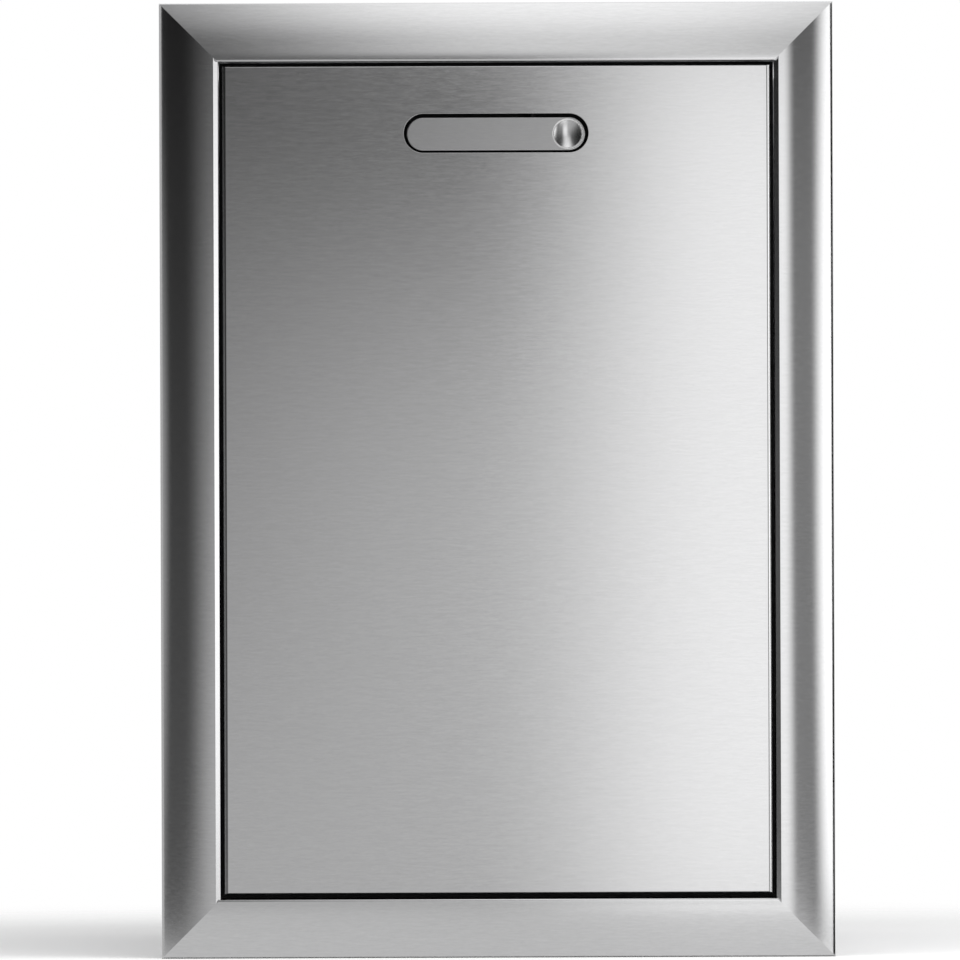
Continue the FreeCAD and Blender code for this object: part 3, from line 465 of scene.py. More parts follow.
def new_finish(name, base, roughness, metallic=0.0):
    """A material with its constant values set on the shader."""
    material = bpy.data.materials.new(FINISH_NAME.format(name))
    material.use_nodes = True
    tree = material.node_tree
    shader = tree.nodes["Principled BSDF"]
    shader.inputs["Metallic"].default_value = metallic
    shader.inputs["Base Color"].default_value = (*base, 1.0)
    shader.inputs["Roughness"].default_value = roughness
    return material, tree, shader


def grain(tree, scale, detail, roughness):
    """Noise on the object's own coordinates, stretched by a scale per axis."""
    place = add(tree, "TexCoord").outputs["Object"]
    stretched = add(tree, "Mapping", {"Vector": place, "Scale": scale}).outputs["Vector"]
    sockets = {"Vector": stretched, "Scale": 1.0, "Detail": detail, "Roughness": roughness}
    return add(tree, "TexNoise", sockets).outputs["Fac"]


def vary_colour(tree, shader, base, pattern, darker, lighter):
    """Drives the base colour between a darker and a lighter tone of one colour."""
    ramp = add(tree, "ValToRGB", {"Fac": pattern})
    for element, place, tone in zip(ramp.color_ramp.elements, (NOISE_LOW, NOISE_HIGH), (darker, lighter)):
        element.position = place
        element.color = (*[min(1.0, tone * part) for part in base], 1.0)
    tree.links.new(ramp.outputs["Color"], shader.inputs["Base Color"])


def vary_roughness(tree, shader, pattern, low, high):
    """Drives the roughness between two values."""
    sockets = {
        "Value": pattern, "From Min": NOISE_LOW, "From Max": NOISE_HIGH, "To Min": low, "To Max": high,
    }
    tree.links.new(add(tree, "MapRange", sockets).outputs["Result"], shader.inputs["Roughness"])


def emboss(tree, shader, pattern, strength, depth=MARK_DEPTH):
    """Raises the surface by a pattern."""
    bump = add(tree, "Bump", {"Height": pattern, "Strength": strength, "Distance": depth})
    tree.links.new(bump.outputs["Normal"], shader.inputs["Normal"])


def brushed(name, base, roughness, stretch, turn=0.25):
    """Satin steel with fine level brushing; a turn of a quarter stretches reflections up and down."""
    material, tree, shader = new_finish(name, base, roughness, metallic=1.0)
    fine = grain(tree, (260.0, 900.0, 1500.0), detail=3.0, roughness=0.6)
    broad = grain(tree, (90.0, 420.0, 700.0), detail=2.0, roughness=0.5)
    streaks = calculate(tree, "MULTIPLY", calculate(tree, "ADD", fine, broad), 0.5)
    vary_colour(tree, shader, base, streaks, darker=0.94, lighter=1.04)
    vary_roughness(tree, shader, streaks, low=roughness - BRUSHED_SPREAD, high=roughness + BRUSHED_SPREAD)
    emboss(tree, shader, fine, strength=0.02)
    shader.inputs["Anisotropic"].default_value = stretch
    shader.inputs["Anisotropic Rotation"].default_value = turn
    tangent = add(tree, "Tangent", direction_type="UV_MAP")
    tree.links.new(tangent.outputs["Tangent"], shader.inputs["Tangent"])
    return material


def brushed_stainless(colours):
    """Steel of the face frame and the drawer front."""
    return brushed("brushed_stainless", colours.stainless, colours.roughness, colours.brushing)


def brushed_pull(colours):
    """Duller, darker steel of the pull's bar, whose reflections are stretched from side to side."""
    return brushed("brushed_pull", colours.pull, colours.pull_roughness, colours.pull_brushing, turn=0.0)


def brushed_dish(colours):
    """Steel of the thumb dish, whose level brushing draws one upright highlight."""
    return brushed("brushed_dish", colours.stainless, colours.dish_roughness, colours.dish_brushing)


def satin_lip(colours):
    """A paler, rougher copy of the steel on the dish's lip, with fine marks: a painted highlight that draws a
    bright ring round the dish.
    """
    material, tree, shader = new_finish("satin_lip", colours.lip, roughness=0.42, metallic=1.0)
    marks = grain(tree, (900.0, 900.0, 900.0), detail=3.0, roughness=0.6)
    vary_colour(tree, shader, colours.lip, marks, darker=0.97, lighter=1.02)
    vary_roughness(tree, shader, marks, low=0.38, high=0.46)
    return material


def stainless_sheet(colours):
    """Plain mill finish: soft, slightly cloudy, with faint rolling marks."""
    material, tree, shader = new_finish("stainless_sheet", colours.sheet, roughness=0.46, metallic=1.0)
    rolled = grain(tree, (300.0, 8.0, 300.0), detail=3.0, roughness=0.6)
    clouds = grain(tree, (11.0, 11.0, 11.0), detail=3.0, roughness=0.5)
    vary_colour(tree, shader, colours.sheet, clouds, darker=0.94, lighter=1.04)
    vary_roughness(tree, shader, rolled, low=0.43, high=0.49)
    emboss(tree, shader, rolled, strength=0.012)
    return material


def zinc_slide(colours):
    """Satin zinc plating with a faint spangle."""
    material, tree, shader = new_finish("zinc_slide", colours.zinc, roughness=0.34, metallic=1.0)
    spangle = grain(tree, (140.0, 140.0, 140.0), detail=2.0, roughness=0.5)
    drawn = grain(tree, (500.0, 9.0, 500.0), detail=3.0, roughness=0.6)
    vary_colour(tree, shader, colours.zinc, spangle, darker=0.90, lighter=1.05)
    vary_roughness(tree, shader, drawn, low=0.26, high=0.38)
    emboss(tree, shader, drawn, strength=0.03)
    return material


def bright_steel(colours):
    """Polished steel with fine handling marks."""
    material, tree, shader = new_finish("bright_steel", colours.bright, roughness=0.14, metallic=1.0)
    marks = grain(tree, (700.0, 700.0, 700.0), detail=4.0, roughness=0.7)
    vary_colour(tree, shader, colours.bright, marks, darker=0.94, lighter=1.03)
    vary_roughness(tree, shader, marks, low=0.10, high=0.20)
    return material


def black_rubber(colours):
    """Matte rubber with a faint bloom, darkened further: partly painted shade, so that the seal in the gaps round
    the front reads black.
    """
    material, tree, shader = new_finish("black_rubber", colours.rubber, roughness=0.78)
    bloom = grain(tree, (90.0, 90.0, 90.0), detail=4.0, roughness=0.6)
    pores = grain(tree, (1800.0, 1800.0, 1800.0), detail=2.0, roughness=0.5)
    vary_colour(tree, shader, colours.rubber, bloom, darker=0.8, lighter=1.3)
    vary_roughness(tree, shader, bloom, low=0.70, high=0.86)
    emboss(tree, shader, pores, strength=0.15)
    return material


def moulded_plastic(name, base):
    """Moulded plastic with a fine leathery texture."""
    material, tree, shader = new_finish(name, base, roughness=0.5)
    texture = grain(tree, (1100.0, 1100.0, 1100.0), detail=3.0, roughness=0.55)
    clouds = grain(tree, (14.0, 14.0, 14.0), detail=3.0, roughness=0.5)
    vary_colour(tree, shader, base, clouds, darker=0.93, lighter=1.06)
    vary_roughness(tree, shader, texture, low=0.42, high=0.58)
    emboss(tree, shader, texture, strength=0.2)
    return material


def lever_plastic(colours):
    """Black plastic of the release levers."""
    return moulded_plastic("lever_plastic", colours.lever)


def bin_plastic(colours):
    """Grey plastic of the bins."""
    return moulded_plastic("bin_plastic", colours.bin)


def cup_black(colours):
    """Near-black powder coating with a slight orange peel; part of its darkness is painted shade, so that the gap
    round the pull reads black.
    """
    material, tree, shader = new_finish("cup_black", colours.cup, roughness=0.42)
    peel = grain(tree, (420.0, 420.0, 420.0), detail=2.0, roughness=0.5)
    vary_colour(tree, shader, colours.cup, peel, darker=0.9, lighter=1.12)
    vary_roughness(tree, shader, peel, low=0.36, high=0.50)
    emboss(tree, shader, peel, strength=0.12, depth=2 * MARK_DEPTH)
    return material


FINISHES = {
    made.__name__: made for made in (
        brushed_stainless, brushed_pull, brushed_dish, satin_lip, stainless_sheet, zinc_slide,
        bright_steel, black_rubber, lever_plastic, bin_plastic, cup_black,
    )
}


def finish(name):
    """A finish, made when it is first asked for; a material slot's finish has the slot's name."""
    colours = bpy.context.scene.drawer_looks.finishes
    return bpy.data.materials.get(FINISH_NAME.format(name)) or FINISHES[name](colours)


# Pieces


def fold_member(sizes, inner_length, bend, slope, land, steps):
    """One frame member along X with its inner edge at Z = 0, folded from a strip and mitred.

    The edge at the opening is as wide as bend and slope times as deep. One step makes it flat, more make
    it round. The land is the flat strip between that edge and the crown.
    """
    stand, jamb = -TRIM_LOW.y, TRIM_HIGH.y
    foot = bend + land
    rise, drop = sizes.width - foot, stand - sizes.edge
    crown = (rise**2 + drop**2) / (2 * drop)
    sweep = math.asin(rise / crown)
    long_enough = inner_length + 3 * sizes.width
    bpy.ops.mesh.primitive_plane_add(
        size=1, location=(0, -stand, (bend + foot) / 2), rotation=(QUARTER, 0, 0),
    )
    member = bpy.context.object
    member.scale = (long_enough, land, 1)
    settle(member)
    with editing(member):
        # Crown, outer edge and seat
        choose("EDGE", lambda edge: lies_at(edge, z=foot))
        bpy.ops.mesh.spin(
            steps=CROWN_STEPS, angle=sweep, center=(0, crown - stand, foot), axis=(1, 0, 0),
        )
        choose("EDGE", lambda edge: lies_at(edge, z=sizes.width))
        extrude(y=sizes.edge)
        extrude(z=-sizes.seat)
        # Edge at the opening, and the jamb behind it
        choose("EDGE", lambda edge: lies_at(edge, z=bend, y=-stand))
        bpy.ops.mesh.spin(
            steps=steps, angle=QUARTER, center=(0, bend - stand, bend), axis=(-1, 0, 0),
        )
        choose("VERT", lambda corner: corner.co.z < bend - TINY)
        bpy.ops.transform.resize(value=(1, slope, 1), center_override=(0, -stand, 0))
        choose("EDGE", lambda edge: lies_at(edge, z=0.0))
        extrude(y=jamb + stand - slope * bend)
        # Rounded fold at the outer edge
        choose("EDGE", lambda edge: lies_at(edge, z=sizes.width, y=-sizes.edge))
        bpy.ops.mesh.bevel(offset=sizes.edge_round, segments=OUTER_EDGE_STEPS, affect="EDGES")
        bpy.ops.mesh.select_all(action="SELECT")
        bpy.ops.mesh.remove_doubles(threshold=TINY)
        face_out()
    point_sheet(member, Vector((0, -1, 0)))
    apply_modifier(member, "SOLIDIFY", thickness=sizes.sheet, offset=-1.0)
    with editing(member):
        for end in (-1, 1):
            corner = (end * inner_length / 2, 0, 0)
            bpy.ops.mesh.select_all(action="SELECT")
            bpy.ops.mesh.bisect(plane_co=corner, plane_no=(end, 0, -1), use_fill=True, clear_outer=True)
    return member


class TRASHDRAWER_OT_face_frame(bpy.types.Operator):
    """Models the four mitred members of the face frame"""

    bl_idname = "trashdrawer.face_frame"
    bl_label = "Face frame"
    bl_options = {"UNDO"}

    def execute(self, context):
        sizes = context.scene.drawer_looks.face_frame
        half_open = TRIM_RIGHT - sizes.width
        low, high = TRIM_LOW.z + sizes.width, TRIM_HIGH.z - sizes.width
        middle = (low + high) / 2
        rail = (2 * half_open, sizes.rail_bend, sizes.rail_slope, sizes.rail_land, RAIL_FOLD_STEPS)
        stile = (high - low, sizes.stile_bend, sizes.stile_slope, sizes.stile_land, STILE_FOLD_STEPS)
        # Section, quarter turns and place of each member
        members = {
            "trim_top_rail": (rail, 0, (0, 0, high)),
            "trim_right_stile": (stile, 1, (half_open, 0, middle)),
            "trim_bottom_rail": (rail, 2, (0, 0, low)),
            "trim_left_stile": (stile, 3, (-half_open, 0, middle)),
        }
        for node, (section, quarters, place) in members.items():
            member = fold_member(sizes, *section)
            member.rotation_euler.y = quarters * QUARTER
            member.location = place
            settle(member)
            hand_over(member, node.replace("trim", "face_frame"), node)
        return {"FINISHED"}


class TRASHDRAWER_OT_front(bpy.types.Operator):
    """Models the folded drawer front with the slot for the pull"""

    bl_idname = "trashdrawer.front"
    bl_label = "Drawer front"
    bl_options = {"UNDO"}

    def execute(self, context):
        sizes = context.scene.drawer_looks.front
        bpy.ops.mesh.primitive_cube_add(size=1, location=(PANEL_LOW + PANEL_HIGH) / 2)
        front = bpy.context.object
        front.scale = PANEL_HIGH - PANEL_LOW
        settle(front)
        face = PANEL_LOW.y
        with editing(front):
            sides = [({"x": corner.x}, 1.0) for corner in (PANEL_LOW, PANEL_HIGH)]
            ends = [({"z": corner.z}, sizes.end_bend) for corner in (PANEL_LOW, PANEL_HIGH)]
            for place, weight in sides + ends:
                choose("EDGE", lambda edge: lies_at(edge, y=face, **place))
                bpy.ops.transform.edge_bevelweight(value=weight)
            choose("FACE", lambda part: lies_at(part, y=PANEL_HIGH.y))
            bpy.ops.mesh.delete(type="FACE")
        apply_modifier(
            front, "BEVEL", width=sizes.bend, segments=FRONT_FOLD_STEPS, profile=sizes.bend_shape,
            limit_method="WEIGHT",
        )
        apply_modifier(front, "SOLIDIFY", thickness=sizes.sheet, offset=-1.0)
        level = (CUP_LOW.z + CUP_HIGH.z) / 2
        ahead, behind = face - sizes.sheet, face + 2 * sizes.sheet
        combine(front, pill(sizes.slot_length, sizes.slot_height, level, ahead, behind), "DIFFERENCE")
        with editing(front):
            choose("EDGE", lambda edge: lies_at(edge, y=face) and self.rims_slot(edge, sizes, level))
            bpy.ops.mesh.bevel(offset=sizes.slot_edge, segments=SLOT_EDGE_STEPS, affect="EDGES")
        hand_over(front, "drawer_front", "front_panel")
        return {"FINISHED"}

    @staticmethod
    def rims_slot(edge, sizes, level):
        """Whether an edge lies on the slot's outline."""
        half = sizes.slot_height / 2
        straight = sizes.slot_length / 2 - half
        for corner in edge.verts:
            past = max(0.0, abs(corner.co.x) - straight)
            if abs(math.hypot(past, corner.co.z - level) - half) > NEAR:
                return False
        return True


class TRASHDRAWER_OT_pull(bpy.types.Operator):
    """Models the flush pull with its thumb dish and lugs"""

    bl_idname = "trashdrawer.pull"
    bl_label = "Pull"
    bl_options = {"UNDO"}

    def execute(self, context):
        sizes = context.scene.drawer_looks.pull
        height = BAR_HIGH.z - BAR_LOW.z
        level = (BAR_HIGH.z + BAR_LOW.z) / 2
        front = BAR_LOW.y
        back = front + sizes.plate
        bar = pill(BAR_HIGH.x - BAR_LOW.x, height, level, front, back)
        with editing(bar):
            choose("EDGE", lambda edge: lies_at(edge, y=front))
            bpy.ops.mesh.bevel(offset=sizes.edge_round, segments=BAR_EDGE_STEPS, affect="EDGES")
        self.add_lugs(bar, sizes, level, back)
        dish = self.press_dish(bar, sizes, level, front)
        hand_over(bar, "pull_bar", "pull_handle")
        self.dress_dish(bar, sizes, front, *dish)
        return {"FINISHED"}

    @staticmethod
    def add_lugs(bar, sizes, level, back):
        """Two drilled lugs behind the bar, each rooted in it."""
        radius = sizes.pin / 2 + sizes.lug_wall
        root = back - sizes.plate / 2
        thick = sizes.lug_wall * 2
        for up in (-1, 1):
            centre = Vector((HANDLE_PIVOT.x, HANDLE_PIVOT.y, level + up * (sizes.lug_gap + thick) / 2))
            lug = rod(radius, centre, thick)
            with editing(lug):
                choose("VERT", lambda corner: corner.co.y < centre.y - TINY)
                bpy.ops.transform.resize(value=(1, 0, 1), center_override=(centre.x, root, centre.z))
            combine(bar, lug, "UNION")
        past_both = 2 * (sizes.lug_gap + thick)
        bore = rod(sizes.pin / 2, (HANDLE_PIVOT.x, HANDLE_PIVOT.y, level), past_both)
        combine(bar, bore, "DIFFERENCE")

    @staticmethod
    def press_dish(bar, sizes, level, front):
        """Sinks the dish and rounds its lip; returns the ball's middle and radius, and the dish's radius."""
        half = (BAR_HIGH.z - BAR_LOW.z) / 2
        reach = half - sizes.dish_edge
        radius = (reach**2 + sizes.dish_depth**2) / (2 * sizes.dish_depth)
        centre = Vector((BAR_HIGH.x - sizes.dish_from_end, front + sizes.dish_depth - radius, level))
        bpy.ops.mesh.primitive_uv_sphere_add(
            segments=DISH_SIDES, ring_count=DISH_RINGS, radius=radius,
            location=centre, rotation=(QUARTER, 0, 0),
        )
        ball = bpy.context.object
        settle(ball)
        combine(bar, ball, "DIFFERENCE")

        def on_rim(edge):
            """Whether an edge lies where the dish meets the bar's front."""
            middle = Vector((centre.x, front, level))
            return all(abs((corner.co - middle).length - reach) < NEAR for corner in edge.verts)

        with editing(bar):
            choose("EDGE", on_rim)
            bpy.ops.mesh.bevel(offset=sizes.dish_lip, segments=DISH_LIP_STEPS, affect="EDGES")
        return centre, radius, reach

    @staticmethod
    def dress_dish(bar, sizes, front, centre, radius, reach):
        """Gives the bar and the dish's hollow a finish each, and the dish's lip a paler one that is a painted
        highlight.
        """
        bar.data.materials.clear()
        for name in ("brushed_pull", "brushed_dish", "satin_lip"):
            bar.data.materials.append(finish(name))
        # The lip's faces take the paler finish, a painted highlight round the dish
        hollow, lip = 1, 2
        # A facet's middle lies a little inside the ball that the hollow follows
        close = sizes.edge_round / 10
        for face in bar.data.polygons:
            across = math.hypot(face.center.x - centre.x, face.center.z - centre.z) - reach
            inwards = face.center.y - front
            if abs((face.center - centre).length - radius) < close:
                face.material_index = hollow
            elif inwards > TINY and math.hypot(across, inwards) < sizes.dish_lip:
                face.material_index = lip


class TRASHDRAWER_OT_spring(bpy.types.Operator):
    """Models the torsion spring round the pull's pin in its rest shape, tied to no body; it does not twist as the
    pull swings
    """

    bl_idname = "trashdrawer.spring"
    bl_label = "Spring"
    bl_options = {"UNDO"}

    def execute(self, context):
        sizes = context.scene.drawer_looks.pull
        rise = sizes.turns * sizes.pitch
        wire_start = (sizes.coil, 0, -rise / 2)
        bpy.ops.mesh.primitive_circle_add(
            vertices=WIRE_SIDES, radius=sizes.wire / 2, location=wire_start, rotation=(QUARTER, 0, 0),
        )
        spring = bpy.context.object
        settle(spring)
        apply_modifier(
            spring, "SCREW", angle=math.tau, screw_offset=sizes.pitch, iterations=sizes.turns,
            steps=COIL_STEPS, render_steps=COIL_STEPS, use_merge_vertices=False, use_smooth_shade=True,
        )
        front_leg = SPRING_LOW.y - HANDLE_PIVOT.y
        back_leg = SPRING_HIGH.y - HANDLE_PIVOT.y
        with editing(spring):
            for end, leg in ((-1, front_leg), (1, back_leg)):
                choose("EDGE", lambda edge: edge.is_boundary and end * edge.verts[0].co.z > 0)
                extrude(y=leg)
                bpy.ops.mesh.edge_face_add()
            face_out()
        spring.location = HANDLE_PIVOT
        settle(spring)
        dress(spring, "pull_spring", SLOT_OF["handle_spring"], SPRING_CREASE)
        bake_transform(spring)
        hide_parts("handle_spring")
        return {"FINISHED"}


class TRASHDRAWER_OT_bins(bpy.types.Operator):
    """Models the two moulded bins with their turned-down rims"""

    bl_idname = "trashdrawer.bins"
    bl_label = "Bins"
    bl_options = {"UNDO"}

    def execute(self, context):
        sizes = context.scene.drawer_looks.bins
        for node in ("front_bin", "rear_bin"):
            shell = self.mould(sizes, *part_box(node))
            hand_over(shell, f"{node}_shell", node, crease=BIN_CREASE, fit=BIN_FIT)
        return {"FINISHED"}

    @staticmethod
    def mould(sizes, low, high):
        """A tapered shell with round corners, a rim and a skirt, whose wall grows in from the outside."""
        top = high.z - sizes.wall
        centre = Vector(((low.x + high.x) / 2, (low.y + high.y) / 2, (low.z + top) / 2))
        mouth = Vector((high.x - low.x - 2 * sizes.rim, high.y - low.y - 2 * sizes.rim, top - low.z))
        bpy.ops.mesh.primitive_cube_add(size=1, location=centre)
        shell = bpy.context.object
        shell.scale = mouth
        settle(shell)

        def draw_in(inset):
            """Scales what is selected, the size of the mouth, so that it lies an inset further in."""
            value = ((mouth.x - 2 * inset) / mouth.x, (mouth.y - 2 * inset) / mouth.y, 1)
            bpy.ops.transform.resize(value=value, center_override=centre)

        with editing(shell):
            choose("EDGE", lambda edge: abs(edge.verts[0].co.z - edge.verts[1].co.z) > mouth.z / 2)
            bpy.ops.mesh.bevel(offset=sizes.corner - sizes.rim, segments=BIN_CORNER_STEPS, affect="EDGES")
            choose("FACE", lambda face: lies_at(face, z=top))
            bpy.ops.mesh.delete(type="FACE")
            choose("VERT", lambda corner: abs(corner.co.z - low.z) < TINY)
            draw_in(sizes.taper)
            choose("EDGE", lambda edge: lies_at(edge, z=low.z))
            bpy.ops.mesh.bevel(offset=sizes.floor_round, segments=BIN_FLOOR_STEPS, affect="EDGES")
            choose("EDGE", lambda edge: lies_at(edge, z=top))
            extrude()
            draw_in(sizes.wall - sizes.rim)
            extrude(z=sizes.wall - sizes.rim_drop)
            face_out()
        point_sheet(shell, Vector((0, 0, -1)))
        apply_modifier(shell, "SOLIDIFY", thickness=sizes.wall, offset=-1.0)
        apply_modifier(
            shell, "BEVEL", width=sizes.lip_round, segments=BIN_LIP_STEPS, limit_method="ANGLE",
            angle_limit=math.radians(BIN_CREASE),
        )
        return shell


class TRASHDRAWER_OT_finishes(bpy.types.Operator):
    """Gives every CAD piece that stays in view its finish"""

    bl_idname = "trashdrawer.finishes"
    bl_label = "Finishes"
    bl_options = {"UNDO"}

    def execute(self, context):
        for name, node in frame["nodes"].items():
            node.data.materials.clear()
            node.data.materials.append(finish(SLOT_OF[name]))
        return {"FINISHED"}


# Stage

# Soft lamps: the setting of the power, the width and height, and the place, in metres
LAMPS = {
    "overhead_lamp": ("overhead_power", (1.8, 1.4), (0.2, -0.7, 2.1)),
    "side_lamp": ("side_power", (1.2, 1.2), (2.0, -1.2, 1.1)),
}

# Brightness of the bare tent, as fades that are multiplied: between two places along an axis each goes
# from one level to another. Places on the tent are shares of its radius, from its middle.
BARE_TENT = (
    ("Z", (-0.3, 0.32), (0.55, 0.08), "LINEAR"),
    ("X", (-0.72, -0.2), (0.19, 1.0), "SMOOTHSTEP"),
    ("X", (0.36, 0.5), (1.0, 0.65), "SMOOTHSTEP"),
)

# Light cards, each laid over the ones before: its level, and where along an axis it fades in and out
TENT_CARDS = {
    "right_wall": (0.26, {"X": (0.36, 0.52)}, {"Z": (0.0, 0.6)}),
    "lower_glow": (0.58, {"X": (-0.30, 0.0)}, {"X": (0.25, 0.50), "Z": (-0.05, 0.30)}),
    "tall_strip": (1.22, {"X": (-0.02, 0.165)}, {"X": (0.26, 0.48), "Z": (0.28, 0.40)}),
    "overhead": (0.86, {"X": (-0.26, 0.03), "Z": (0.30, 0.40)}, {"X": (0.12, 0.42)}),
    "ceiling": (1.30, {"X": (-0.36, 0.03), "Z": (0.55, 1.05)}, {"X": (0.06, 0.46)}),
    "right_window": (1.7, {"X": (0.725, 0.93)}, {}),
    "left_edge": (0.58, {}, {"X": (-1.0, -0.88), "Z": (0.0, 0.4)}),
    "far_ground": (
        0.50,
        {"X": (-0.75, -0.45), "Y": (-0.82, -0.66)},
        {"X": (0.45, 0.65), "Y": (-0.55, -0.42), "Z": (-0.308, -0.300)},
    ),
    "near_ground": (
        0.68,
        {"X": (-0.75, -0.45), "Y": (-0.40, 0.0)},
        {"X": (0.45, 0.65), "Z": (-0.308, -0.300)},
    ),
}


def only_mirrored(piece):
    """Makes a stage piece show only as a reflection in the steel."""
    piece.visible_camera = False
    piece.visible_diffuse = False
    piece.visible_transmission = False
    piece.visible_volume_scatter = False
    piece.visible_shadow = False


def tent_glow(centre, radius):
    """The tent's material: a bare wall with cards of light laid over it."""
    material = bpy.data.materials.new("light_tent")
    material.use_nodes = True
    material.cycles.emission_sampling = "NONE"
    tree = material.node_tree
    tree.nodes.clear()
    place = add(tree, "TexCoord").outputs["Object"]
    to_shares = {"Vector": place, "Location": -centre / radius, "Scale": [1 / radius] * 3}
    axes = add(tree, "SeparateXYZ", {"Vector": add(tree, "Mapping", to_shares).outputs["Vector"]}).outputs

    def fade(axis, places, levels, kind="SMOOTHSTEP"):
        """A number that goes from one level to another between two places along an axis."""
        (start, end), (low, high) = places, levels
        sockets = {"Value": axes[axis], "From Min": start, "From Max": end, "To Min": low, "To Max": high}
        return add(tree, "MapRange", sockets, interpolation_type=kind).outputs["Result"]

    light = 1.0
    for axis, places, levels, kind in BARE_TENT:
        light = calculate(tree, "MULTIPLY", light, fade(axis, places, levels, kind))
    for level, fades_in, fades_out in TENT_CARDS.values():
        mask = 1.0
        for axis, places in fades_in.items():
            mask = calculate(tree, "MULTIPLY", mask, fade(axis, places, (0.0, 1.0)))
        for axis, places in fades_out.items():
            mask = calculate(tree, "MULTIPLY", mask, fade(axis, places, (1.0, 0.0)))
        light = add(tree, "Mix", {0: mask, 2: light, 3: level}).outputs[0]
    glow = add(tree, "Emission", {"Strength": light})
    output = add(tree, "OutputMaterial")
    tree.links.new(glow.outputs["Emission"], output.inputs["Surface"])
    return material


class TRASHDRAWER_OT_stage(bpy.types.Operator):
    """Sets up the floor, the light tent, the flags, the lamps, the world and the camera"""

    bl_idname = "trashdrawer.stage"
    bl_label = "Stage"
    bl_options = {"UNDO"}

    def execute(self, context):
        settings = context.scene.drawer_looks.stage
        self.lay_floor(settings)
        self.hang_tent(settings)
        # Reflection-only cards that paint dark and shaded reflections on the stiles' outer edges
        self.stand_flag(settings, "black_flag", side=1, depth=settings.black_flag, level=0.0)
        self.stand_flag(settings, "grey_flag", side=-1, depth=settings.grey_flag, level=settings.grey_level)
        self.light_world(context, settings)
        aim = Vector((0, 0, settings.aim_z))
        for name, (watts, size, place) in LAMPS.items():
            self.hang_lamp(name, getattr(settings, watts), size, Vector(place), aim)
        self.set_camera(context, settings)
        context.scene.view_settings.view_transform = "Standard"
        return {"FINISHED"}

    @staticmethod
    def lay_floor(settings):
        """A pale floor that fades out with distance, so that no horizon shows."""
        middle = (cad_box[0] + cad_box[1]) / 2
        middle.z = cad_box[0].z
        bpy.ops.mesh.primitive_circle_add(
            vertices=FLOOR_SIDES, radius=settings.floor_radius, fill_type="NGON", location=(0, 0, middle.z),
        )
        floor = bpy.context.object
        settle(floor)
        floor.name = "floor"
        material, tree, shader = new_finish("floor", settings.floor, settings.floor_roughness)
        shader.inputs["Specular IOR Level"].default_value = 0.0
        place = add(tree, "TexCoord").outputs["Object"]
        away = add(tree, "VectorMath", {0: place, 1: middle}, operation="DISTANCE").outputs["Value"]
        sockets = {"Value": away, "From Min": settings.floor_full, "From Max": settings.floor_gone}
        fade = add(tree, "MapRange", sockets, interpolation_type="SMOOTHSTEP").outputs["Result"]
        clear = add(tree, "BsdfTransparent").outputs["BSDF"]
        mixed = add(tree, "MixShader", {0: fade, 1: shader.outputs["BSDF"], 2: clear})
        tree.links.new(mixed.outputs["Shader"], tree.nodes["Material Output"].inputs["Surface"])
        floor.data.materials.append(material)

    @staticmethod
    def hang_tent(settings):
        """Half a round light tent before the drawer, seen only as a reflection in the steel."""
        radius = settings.tent_radius
        centre = Vector((0, settings.tent_set_back, settings.aim_z))
        ground = (0, 0, cad_box[0].z + settings.tent_lift)
        opening = centre + Vector((0, settings.tent_reach, 0))
        bpy.ops.mesh.primitive_uv_sphere_add(
            segments=TENT_SIDES, ring_count=TENT_RINGS, radius=radius, location=centre,
        )
        tent = bpy.context.object
        settle(tent)
        tent.name = "light_tent"
        with editing(tent):
            bpy.ops.mesh.select_all(action="SELECT")
            bpy.ops.mesh.bisect(plane_co=ground, plane_no=(0, 0, 1), use_fill=True, clear_inner=True)
            bpy.ops.mesh.select_all(action="SELECT")
            bpy.ops.mesh.bisect(plane_co=opening, plane_no=(0, 1, 0), clear_outer=True)
        tent.data.materials.append(tent_glow(centre, radius))
        only_mirrored(tent)

    @staticmethod
    def stand_flag(settings, name, side, depth, level):
        """A narrow card just outside a stile, seen only in reflections, which draws the stile's outer edge against
        the white: a painted dark reflection on the right, and on the left a dim grey glow that paints the
        reflection of shade.
        """
        front = TRIM_LOW.y + settings.flag_set_back
        place = (side * (TRIM_RIGHT + settings.flag_gap), front + depth / 2, TRIM_MIDDLE)
        bpy.ops.mesh.primitive_plane_add(size=1, location=place, rotation=(0, QUARTER, 0))
        flag = bpy.context.object
        flag.scale = (TRIM_HIGH.z - TRIM_LOW.z, depth, 1)
        settle(flag)
        flag.name = name
        material, _, shader = new_finish(name, base=(0, 0, 0), roughness=0.5)
        shader.inputs["Specular IOR Level"].default_value = 0.0
        shader.inputs["Emission Color"].default_value = (1, 1, 1, 1)
        shader.inputs["Emission Strength"].default_value = level
        material.cycles.emission_sampling = "NONE"
        flag.data.materials.append(material)
        only_mirrored(flag)

    @staticmethod
    def light_world(context, settings):
        """White to the camera and in reflections, and a softer fill on matte surfaces."""
        world = bpy.data.worlds.new("studio")
        context.scene.world = world
        world.use_nodes = True
        tree = world.node_tree
        backing = tree.nodes["Background"]
        backing.inputs["Color"].default_value = (1, 1, 1, 1)
        path = add(tree, "LightPath").outputs
        seen = calculate(tree, "MAXIMUM", path["Is Camera Ray"], path["Is Glossy Ray"])
        seen = calculate(tree, "MAXIMUM", seen, path["Is Transmission Ray"])
        level = add(tree, "MapRange", {"Value": seen, "To Min": settings.fill, "To Max": 1.0})
        tree.links.new(level.outputs["Result"], backing.inputs["Strength"])

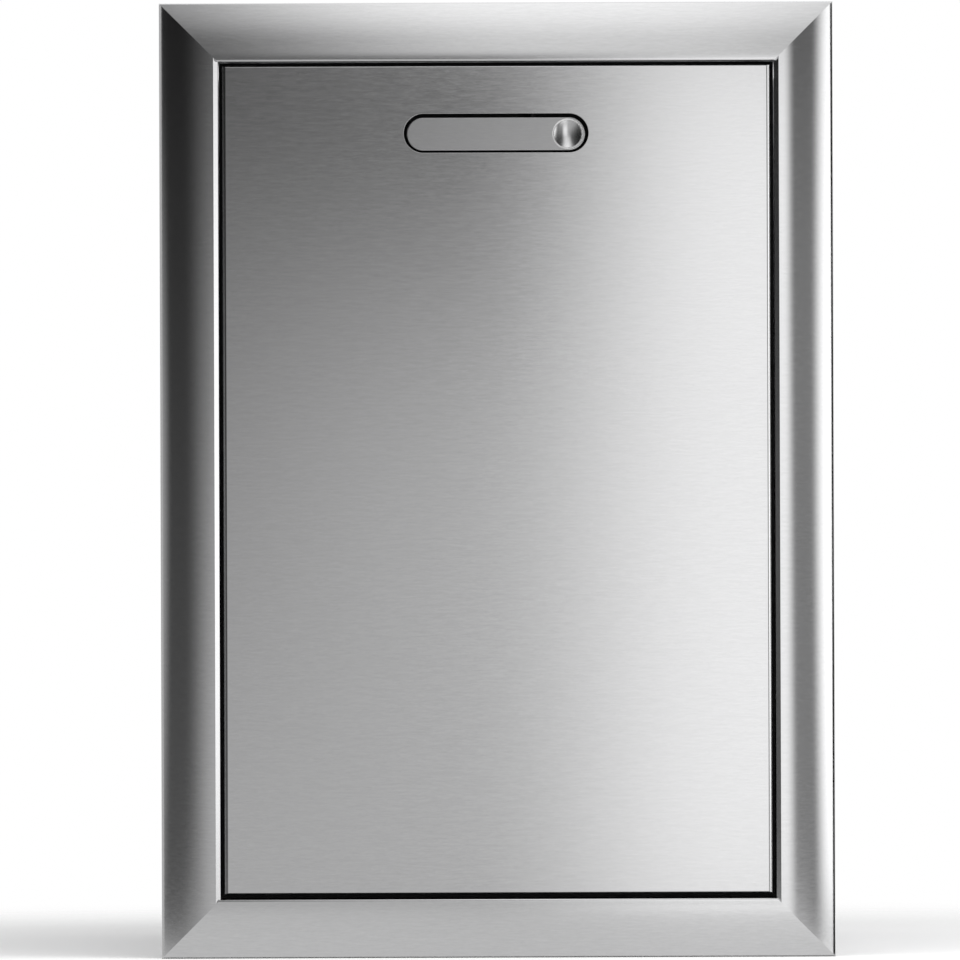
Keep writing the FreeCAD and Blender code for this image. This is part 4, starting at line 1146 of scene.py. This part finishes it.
    @staticmethod
    def hang_lamp(name, watts, size, place, aim):
        """A soft lamp that lights matte surfaces; the steel mirrors the tent and the world instead."""
        bpy.ops.object.light_add(type="AREA", location=place)
        lamp = bpy.context.object
        lamp.name = name
        lamp.rotation_euler = (aim - place).to_track_quat("-Z", "Y").to_euler()
        lamp.data.shape = "RECTANGLE"
        lamp.data.size, lamp.data.size_y = size
        lamp.data.energy = watts
        lamp.visible_camera = False
        lamp.visible_glossy = False

    @staticmethod
    def set_camera(context, settings):
        """Straight on, at the photograph's distance and framing."""
        place = (settings.aim_x, -settings.distance, settings.aim_z)
        bpy.ops.object.camera_add(location=place, rotation=(QUARTER, settings.roll, 0))
        camera = bpy.context.object
        camera.data.lens = camera.data.sensor_width * settings.distance / settings.view_width
        camera.data.clip_end = settings.distance + 2 * settings.floor_radius
        context.scene.camera = camera


# Sidebar

STEPS = (
    TRASHDRAWER_OT_face_frame,
    TRASHDRAWER_OT_front,
    TRASHDRAWER_OT_pull,
    TRASHDRAWER_OT_spring,
    TRASHDRAWER_OT_bins,
    TRASHDRAWER_OT_finishes,
    TRASHDRAWER_OT_stage,
)


class TRASHDRAWER_PT_steps(bpy.types.Panel):
    """Lists the steps that dress the drawer"""

    bl_label = "Trash drawer"
    bl_space_type = "VIEW_3D"
    bl_region_type = "UI"
    bl_category = "Trash drawer"

    def draw(self, context):
        for step in STEPS:
            self.layout.operator(step.bl_idname)


GROUPS = (
    FaceFrameSizes, DrawerFrontSizes, PullSizes, BinSizes, FinishColours, StageSettings, DrawerLooks,
)


def register():
    """Registers the settings, the steps and the sidebar panel."""
    for kind in GROUPS + STEPS + (TRASHDRAWER_PT_steps,):
        bpy.utils.register_class(kind)
    bpy.types.Scene.drawer_looks = bpy.props.PointerProperty(type=DrawerLooks)


def unregister():
    """Removes all that register added."""
    del bpy.types.Scene.drawer_looks
    for kind in reversed(GROUPS + STEPS + (TRASHDRAWER_PT_steps,)):
        bpy.utils.unregister_class(kind)


def main():
    register()
    for step in STEPS:
        group, name = step.bl_idname.split(".")
        getattr(getattr(bpy.ops, group), name)()


if __name__ == "__main__":
    main()
